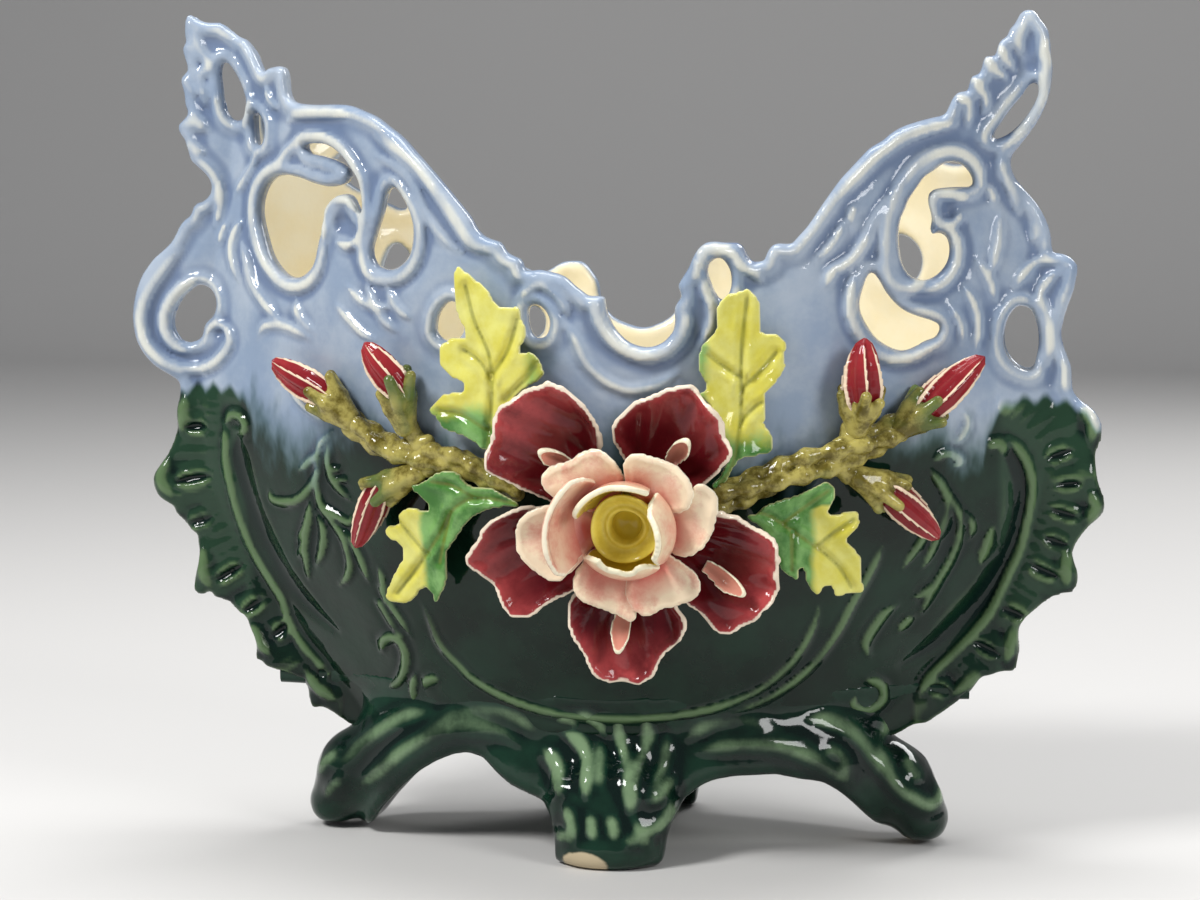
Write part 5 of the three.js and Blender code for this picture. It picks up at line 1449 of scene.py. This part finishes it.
# Each leaf: its outline, its veins, how green each place is, where it lies closest to the
# wall, and how far out it stands there.
leaf_shapes = {
    "upper_left_leaf": (
        [(-43, 205.5), (-39.5, 203.5), (-36, 200.5), (-32.5, 198), (-30.5, 195), (-28.5, 192),
         (-26.5, 191.5), (-22, 192), (-20, 190.5), (-20, 187.5), (-18.5, 184), (-19, 181),
         (-20.5, 178), (-21, 176.5), (-18, 177), (-15, 175), (-13.5, 172), (-13, 169),
         (-15, 166.5), (-18.5, 164.5), (-22, 162), (-24, 159), (-27, 153.5), (-28, 147.5),
         (-30, 143), (-34.5, 143), (-37.5, 145), (-42, 147.5), (-47, 148.5), (-50, 150.5),
         (-52, 153.5), (-54.5, 155.5), (-52.5, 159), (-49, 162), (-44, 163), (-41.5, 163.5),
         (-42, 165.5), (-45.5, 167), (-48.5, 169.5), (-50, 172.5), (-50, 176.5), (-48.5, 179),
         (-45, 181), (-41, 181), (-41, 183.5), (-43, 187), (-44, 192), (-44, 197.5), (-43.5, 202.5)],
        [[(-33, 144), (-32, 156.5), (-31.5, 166), (-32, 175.5), (-36.5, 186), (-39.5, 198)],
         [(-31.5, 166), (-35, 172.5), (-41, 176.5)], [(-31.5, 168), (-26, 176), (-22, 187)],
         [(-33, 150), (-42, 155), (-50, 156)], [(-27, 160), (-20, 167), (-16, 172)]],
        lambda x, z: np.clip((164 - z) / 14, 0, 1) * np.clip((-27 - x) / 8, 0, 1)
        + 0.6 * np.clip((x + 24) / 6, 0, 1) * (z < 179) + 0.7 * np.clip((152 - z) / 8, 0, 1),
        (-33, 172), 6.5,
    ),
    "upper_right_leaf": (
        [(53, 198), (55.5, 195), (57, 192.5), (57, 187.5), (57, 183.5), (60.5, 183), (64, 181),
         (65, 177.5), (64, 174), (65, 171.5), (63, 168), (61, 165), (58.5, 162.5), (58, 159),
         (58.5, 155.5), (58, 152.5), (60.5, 149), (60.5, 145), (59.5, 142), (55.5, 141.5),
         (51, 141), (48, 137.5), (45.5, 133), (42, 130.5), (40, 131.5), (39.5, 133), (42.5, 136),
         (45, 141), (45, 144.5), (43, 151.5), (41.5, 155.5), (39.5, 159), (36.5, 161.5),
         (36, 163.5), (38.5, 164.5), (37.5, 167.5), (36, 171), (36, 174.5), (37, 178.5),
         (39, 181), (41.5, 184), (42, 186.5), (42, 189.5), (43, 193), (46, 196), (50, 197)],
        [[(43, 133), (47, 138.5), (49.5, 151.5), (50, 165.5), (50.5, 179.5), (52, 194)],
         [(50, 168), (44, 172), (39.5, 176)], [(50, 164), (56, 170), (61, 176)],
         [(49.5, 153), (54, 158), (57, 160)]],
        lambda x, z: np.clip((156 - z) / 14, 0, 1) + 0.6 * np.clip((43 - x) / 5, 0, 1),
        (50, 168), 5.0,
    ),
    "lower_left_leaf": (
        [(-21, 125), (-25, 128), (-31, 131), (-35, 131.5), (-40, 132), (-43, 135.5),
         (-46.5, 136.5), (-51, 136), (-54.5, 134), (-58, 132), (-62, 130.5), (-61, 128),
         (-59, 126.5), (-56.5, 124), (-56.5, 122), (-60, 123), (-64.5, 122.5), (-67, 120),
         (-67.5, 117), (-71.5, 116), (-72.5, 113), (-70.5, 110.5), (-67.5, 109), (-66.5, 105),
         (-68.5, 101.5), (-71, 97), (-73.5, 92.5), (-73.5, 89), (-69, 88), (-64.5, 88.5),
         (-61.5, 91), (-58.5, 94), (-56.5, 92.5), (-55, 88.5), (-51.5, 93), (-49.5, 97),
         (-48.5, 102.5), (-49, 107), (-45, 113), (-40.5, 118.5), (-35.5, 122), (-30.5, 123.5)],
        [[(-22, 126), (-38.5, 127), (-47.5, 121.5), (-53, 112), (-60.5, 102), (-68.5, 92)],
         [(-38, 127), (-46, 131), (-54, 132)], [(-48, 121), (-50, 113), (-52, 104)],
         [(-57, 107), (-62, 112), (-66, 117)]],
        lambda x, z: np.clip((x + 61) / 6, 0, 1) + np.clip((z - 124) / 4, 0, 1),
        (-52, 114), 8.0,
    ),
    "lower_right_leaf": (
        [(44, 123), (50, 122.5), (54.5, 123.5), (56.5, 125.5), (61.5, 127.5), (67, 129),
         (71, 131), (74.5, 132.5), (77, 133.5), (80, 132), (81, 129), (80, 125.5), (78.5, 123),
         (80.5, 122.5), (84.5, 123.5), (87.5, 122.5), (88.5, 118.5), (86.5, 115), (84.5, 112.5),
         (87, 109.5), (89, 106), (88.5, 102.5), (89.5, 94), (86, 93.5), (82.5, 93), (79, 92.5),
         (78, 96.5), (76, 95.5), (74.5, 93), (72.5, 94.5), (70, 98.5), (69, 103), (68, 99),
         (64.5, 100.5), (60, 106), (59, 112), (57, 115.5), (53, 119.5), (48.5, 121.5)],
        [[(45, 122.5), (56.5, 123), (65.5, 117), (73.5, 110.5), (80, 104.5), (85, 96)],
         [(63, 119), (71, 125), (78, 130)], [(74, 111), (80, 116), (86, 120)],
         [(66, 116.5), (66, 109), (66, 103)]],
        lambda x, z: np.clip((76 - x) / 6, 0, 1) + np.clip((z - 123.5) / 3, 0, 1),
        (68, 114), 8.0,
    ),
}
for name, (outline, veins, green, heart, stand) in leaf_shapes.items():
    sheet = petal_sheet(outline, 0.75)
    sheet.relief += 0.4 * np.sin(sheet.U * 0.5) * np.sin(sheet.V * 0.37)
    veined = np.zeros(sheet.U.shape)
    for vein in veins:
        away, _, _ = sheet.distance(through(vein, 1.0), 4.0)
        veined = np.maximum(veined, np.clip(1 - away / 1.3, 0, 1))
        sheet.relief -= 0.9 * np.exp(-((away / 1.1) ** 2))
        sheet.relief += 0.5 * np.exp(-(((away - 2.6) / 1.2) ** 2))
    points, faces = slab(sheet, 2.6, 1.1)
    x, z, w = points.T
    near = sheet.sample(sheet.edge, x, z)
    far = np.hypot(x - heart[0], z - heart[1])
    lift = stand + 0.0022 * far**2 + 1.0 * np.sin(x * 0.31 + z * 0.17)
    lift = lift + 0.8 * np.clip(1 - near / 5, 0, 1)
    y = -(wall_face(x, z) + (lift + w) * wall_slant(x, z) ** 0.5)
    tones = {
        "green": green(x, z),
        "vein": sheet.sample(veined, x, z) * (w > 0),
        "rim": np.clip(1 - near / 1.2, 0, 1),
    }
    bent = np.stack([x, y, z], axis=1)
    piece(f"{name}_painted", bent, faces, tones, glaze_of_leaves, [name])

# ------------------------------------------------------------------ stems, calyxes, buds
# Each spray is a bundle of hand-rolled clay strands, knotted and pinched, that carries
# three half-open buds in ragged calyxes. The strands are olive, the buds red over cream.
def off_wall(x, z, out):
    """A place so far out from the wall."""
    return np.array([x, -(wall_face(x, z) + out * wall_slant(x, z)), z])


def lump(parts, blend, step=0.75, margin=3):
    """One lump of clay worked together from limbs: [start, end, start radius, end radius]."""
    ends = np.array([p for part in parts for p in part[:2]])
    widest = max(max(part[2:]) for part in parts)
    low = ends.min(0) - widest - margin
    high = ends.max(0) + widest + margin
    grid = grid_box(low, high, step)
    bulk = None
    for a, b, ra, rb in parts:
        limb = capsule(grid, a, b, ra, rb)
        bulk = limb if bulk is None else joined(bulk, limb, blend)
    points, faces = skin(bulk, low, step)
    return eased(points, faces, 1, 0.4), faces


olive_brown = (0.11, 0.085, 0.012), (0.42, 0.36, 0.10)
olive_green = (0.09, 0.14, 0.04)
# Painted shade: the darker olive laid on where the clay lies close to the wall.
olive_painted_shade = (0.06, 0.045, 0.01)


def olive_glaze():
    material, tree, shader = new_glaze("olive glaze", 0.1)
    clouds = noise(tree, 150, 5, 0.65)
    patches = noise(tree, 45, 3, 0.5)
    colour = mixed(tree, spread(tree, clouds, 0.35, 0.62), *olive_brown)
    colour = mixed(tree, spread(tree, patches, 0.5, 0.72), colour, olive_green)
    # Painted shade: the low tone darkens the olive towards the wall.
    colour = mixed(tree, spread(tree, tone(tree, "low"), 0.2, 1.0), colour, olive_painted_shade)
    wire(tree, colour, shader.inputs["Base Color"])
    dimpled(tree, shader, 220, 0.0005)
    return material


olive = olive_glaze()
bud_red = streaky_glaze("bud glaze", (0.16, 0.007, 0.012), (0.33, 0.03, 0.035), (0.84, 0.66, 0.48))


def strands(route, count, bundle, thick, phase):
    """Limbs of a twisted bundle along a route of places on the wall."""
    line = through(route, 3.0)
    base = np.array([off_wall(x, z, bundle + thick + 0.6) for x, z in line])
    parts = []
    for s in range(count):
        swing = np.linspace(0, 3.2, len(base)) + phase + s * 2 * np.pi / count
        run = np.gradient(base, axis=0)
        run /= np.linalg.norm(run, axis=1)[:, None]
        out = np.cross(run, [0.0, 0.0, 1.0])
        out /= np.linalg.norm(out, axis=1)[:, None]
        up = np.cross(run, out)
        around = bundle * (np.cos(swing)[:, None] * out + 1.15 * np.sin(swing)[:, None] * up)
        spots = base + around
        sizes = thick * (1 + 0.34 * np.sin(np.arange(len(base)) * 1.9 + s * 2.3 + phase))
        for a, b, ra, rb in zip(spots, spots[1:], sizes, sizes[1:]):
            parts.append([a, b, ra, rb])
    return parts


# Each spray: the stem's route over the wall, its strands, where its calyx starts and opens and
# where its bud's tip is (across, up and out from the wall), the bud's width, and its knots.
sprays = {
    "left_upper": dict(
        route=[(-24, 130), (-34.5, 134.5), (-43.5, 138.5), (-53, 139.8), (-61.5, 140.3),
               (-70.5, 142), (-79, 147), (-86, 152)],
        count=3, bundle=2.3, thick=2.2,
        calyx=((-84, 151, 7.0), (-94, 159, 8.0)), tip=(-115, 170, 9.0), width=6.4,
        knots=[(-58, 139.5, 5.5, 3.0), (-70, 141.5, 6.0, 3.2)]),
    "left_middle": dict(
        route=[(-56, 143), (-60.5, 145.5), (-63, 149.5)],
        count=2, bundle=1.4, thick=2.2,
        calyx=((-63, 150, 7.0), (-65.5, 163, 8.0)), tip=(-77, 178, 9.5), width=6.4,
        knots=[(-57, 144.5, 5.0, 3.0)]),
    "left_lower": dict(
        route=[(-48, 137), (-54, 136.5), (-60, 134.5)],
        count=2, bundle=1.4, thick=2.0,
        calyx=((-60, 134.5, 7.0), (-73, 128, 8.5)), tip=(-84, 107, 10.0), width=5.6,
        knots=[(-66, 131.5, 7.0, 4.2)]),
    "right_upper": dict(
        route=[(42, 127.5), (53.5, 131.5), (63.5, 135.5), (73.5, 139), (84, 142.5), (93, 146),
               (101, 149.5)],
        count=3, bundle=2.9, thick=2.4,
        calyx=((100, 149.5, 7.0), (109, 156.5, 8.0)), tip=(128, 173, 10.0), width=6.6,
        knots=[(60, 136, 6.0, 3.0), (80, 142, 6.5, 3.0)]),
    "right_middle": dict(
        route=[(80, 144), (84, 147), (87, 151)],
        count=2, bundle=1.5, thick=2.2,
        calyx=((87, 150, 7.0), (88.5, 160, 8.5)), tip=(89.5, 180.5, 9.5), width=7.4,
        knots=[]),
    "right_lower": dict(
        route=[(76, 138), (81, 136.5), (87, 134)],
        count=2, bundle=1.4, thick=2.2,
        calyx=((87, 134, 7.0), (98, 128.5, 8.5)), tip=(113.5, 111.5, 10.0), width=6.2,
        knots=[(84, 134.5, 6.0, 3.2)]),
}
knot_pinch = np.array([1.5, -0.5, 0.8])
# How far out from the wall the painted shade on the stems reaches, in millimetres.
painted_shade_height = 4.0


def glazed_lump(node, parts, blend, step=0.75):
    """Limbs worked into one lump under olive glaze, with painted shade making it darker close to the
    wall.
    """
    points, faces = lump(parts, blend, step)
    off = -points[:, 1] - wall_face(points[:, 0], points[:, 2])
    # The low tone is painted shade: nothing 4 mm out from the wall, full at the wall.
    tones = {"low": np.clip(1 - off / painted_shade_height, 0, 1)}
    piece(f"{node}_glazed", points, faces, tones, olive, [node])


def spray_stem(name, spray):
    """The twisted strands with their knots, as far as the foot of the calyx."""
    thick = spray["thick"]
    parts = strands(spray["route"], spray["count"], spray["bundle"], thick, len(name) * 0.7)
    for x, z, out, size in spray["knots"]:
        spot = off_wall(x, z, out)
        parts.append([spot, spot + knot_pinch, size, size * 0.8])
    end, foot = off_wall(*spray["route"][-1], 5.5), off_wall(*spray["calyx"][0])
    parts.append([end, foot, thick, thick * 1.2])
    glazed_lump(f"{name}_stem", parts, 1.2)


def bud_axes(spray):
    """The calyx's foot and neck, the bud's tip, the way it points, and two ways across it."""
    foot, neck = (off_wall(*place) for place in spray["calyx"])
    tip = off_wall(*spray["tip"])
    heading = (tip - neck) / np.linalg.norm(tip - neck)
    side = np.cross(heading, [0.0, 1.0, 0.0])
    side /= np.linalg.norm(side)
    return foot, neck, tip, heading, side, np.cross(heading, side)


def spray_calyx(name, spray):
    """A cone of clay with six ragged leaflets pressed round it."""
    foot, neck, _, heading, side, other = bud_axes(spray)
    width = spray["width"]
    parts = [[foot, foot + 0.75 * (neck - foot), 3.4, width * 0.72]]
    for k in range(6):
        a = k * np.pi / 3 + 0.5 + 0.25 * math.sin(k * 2.1 + len(name))
        rib = math.cos(a) * side + math.sin(a) * other
        belly = foot + 0.62 * (neck - foot) + rib * width * 0.62
        flare = 1.02 + 0.16 * math.sin(k * 1.7 + len(name))
        end = neck + heading * (1.5 + 1.8 * math.sin(k * 2.6)) + rib * width * flare
        parts.append([foot + rib * 1.5, belly, 2.2, 2.5])
        parts.append([belly, end, 2.4, 1.9])
    glazed_lump(f"{name}_calyx", parts, 1.3, 0.65)


bud_sunk = 4  # how deep the bud sits in its calyx
bud_folds = 6
bud_section = [(1.0, along) for along in np.linspace(0, 1, 60)]


def spray_bud(name, spray):
    """A half-open bud: a tapering roll of clay with overlapping folds, creamy at their edges."""
    _, neck, tip, heading, side, other = bud_axes(spray)
    roll, faces = turned(bud_section, 96)
    along, angle = roll[:, 2], np.arctan2(roll[:, 1], roll[:, 0])
    body = np.interp(
        along, [0, 0.12, 0.35, 0.6, 0.8, 0.93, 1], [0.62, 0.86, 1.0, 0.9, 0.66, 0.4, 0.06]
    )
    fold = (angle * bud_folds / (2 * np.pi) + 0.55 * along + 0.12 * np.sin(3 * angle)) % 1.0
    flap = fold**1.4
    radius = spray["width"] * body * (0.72 + 0.30 * flap)
    radius = radius + 0.25 * np.sin(9 * angle + 4 * along) * body
    reach = np.linalg.norm(tip - neck) + bud_sunk
    out = np.cos(angle)[:, None] * side + np.sin(angle)[:, None] * other
    points = neck + heading * (along * reach - bud_sunk)[:, None] + radius[:, None] * out
    edge = np.clip((flap - 0.66) / 0.2, 0, 1)
    tones = {
        "thin": np.clip(along * 1.1, 0, 1),
        "rim": edge * 1.1 * (0.35 + 0.65 * (1 - along**3)),
    }
    piece(f"{name}_bud_painted", points, faces, tones, bud_red, [f"{name}_bud"])


for name, spray in sprays.items():
    spray_stem(name, spray)
    spray_calyx(name, spray)
    spray_bud(name, spray)

# ------------------------------------------------------------------ table, light, camera
# Sizes from here on are in metres. The table is a sheet of matt paper that curves up behind.
table_reach = 4.5
bend_start, bend_radius, bend_steps = 2.4, 0.6, 12
backdrop_height = 3.0
paper = (0.6, 0.59, 0.575, 1)


def table_top():
    section = [(-table_reach, 0.0)]
    for k in range(bend_steps + 1):
        turn = math.pi / 2 * k / bend_steps
        section.append(
            (bend_start + bend_radius * math.sin(turn), bend_radius * (1 - math.cos(turn)))
        )
    section.append((bend_start + bend_radius, backdrop_height))
    bm = bmesh.new()
    verts = [bm.verts.new((-table_reach, y, z)) for y, z in section]
    edges = [bm.edges.new(pair) for pair in zip(verts, verts[1:])]
    swept_out = bmesh.ops.extrude_edge_only(bm, edges=edges)["geom"]
    moved = [item for item in swept_out if isinstance(item, bmesh.types.BMVert)]
    bmesh.ops.translate(bm, vec=(2 * table_reach, 0, 0), verts=moved)
    mesh = bpy.data.meshes.new("table")
    bm.to_mesh(mesh)
    bm.free()
    mesh.shade_smooth()
    material = bpy.data.materials.new("table paper")
    material.use_nodes = True
    shader = material.node_tree.nodes["Principled BSDF"]
    shader.inputs["Base Color"].default_value = paper
    shader.inputs["Roughness"].default_value = 0.7
    mesh.materials.append(material)
    made = bpy.data.objects.new("table", mesh)
    bpy.context.scene.collection.objects.link(made)


def softbox(name, place, target, size, power):
    """A studio lamp behind a white cloth, turned to its target."""
    light = bpy.data.lights.new(name, "AREA")
    light.shape = "RECTANGLE"
    light.size, light.size_y = size
    light.energy = power
    made = bpy.data.objects.new(name, light)
    made.location = place
    made.rotation_mode = "QUATERNION"
    made.rotation_quaternion = (Vector(target) - Vector(place)).to_track_quat("-Z", "Y")
    bpy.context.scene.collection.objects.link(made)


table_top()
softbox("key", (-0.9, -0.9, 1.3), (0, 0, 0.15), (0.45, 0.45), 27)
softbox("fill", (1.2, -0.9, 0.8), (0, 0, 0.15), (0.5, 0.5), 11)
softbox("top", (0.0, 0.3, 1.6), (0, 0, 0.1), (1.0, 0.6), 16)
softbox("behind", (0.8, 1.4, 1.1), (0, 0, 0.15), (0.7, 0.7), 10)
world = bpy.data.worlds.new("room")
bpy.context.scene.world = world
world.use_nodes = True
world.node_tree.nodes["Background"].inputs["Color"].default_value = (0.9, 0.93, 1.0, 1)
world.node_tree.nodes["Background"].inputs["Strength"].default_value = 0.22

# The camera stands a little to the right of the middle, as the photograph was taken.
focal_pixels, picture_pixels, sensor_width = 3135, 1200, 36
shift_down_pixels, shift_left_pixels = 300, 20
bearing = math.radians(8)
camera_distance, camera_height = 1.1, 0.242
camera = bpy.data.objects.new("camera", bpy.data.cameras.new("camera"))
camera.data.lens = focal_pixels / picture_pixels * sensor_width
camera.data.sensor_width = sensor_width
camera.location = (
    middle_x / mm_in_metre + camera_distance * math.sin(bearing),
    middle_y / mm_in_metre - camera_distance * math.cos(bearing),
    camera_height,
)
camera.rotation_euler = (
    math.pi / 2 - math.atan(shift_down_pixels / focal_pixels),
    0,
    bearing + math.atan(shift_left_pixels / focal_pixels),
)
bpy.context.scene.collection.objects.link(camera)
bpy.context.scene.camera = camera
bpy.context.scene.view_settings.view_transform = "Standard"
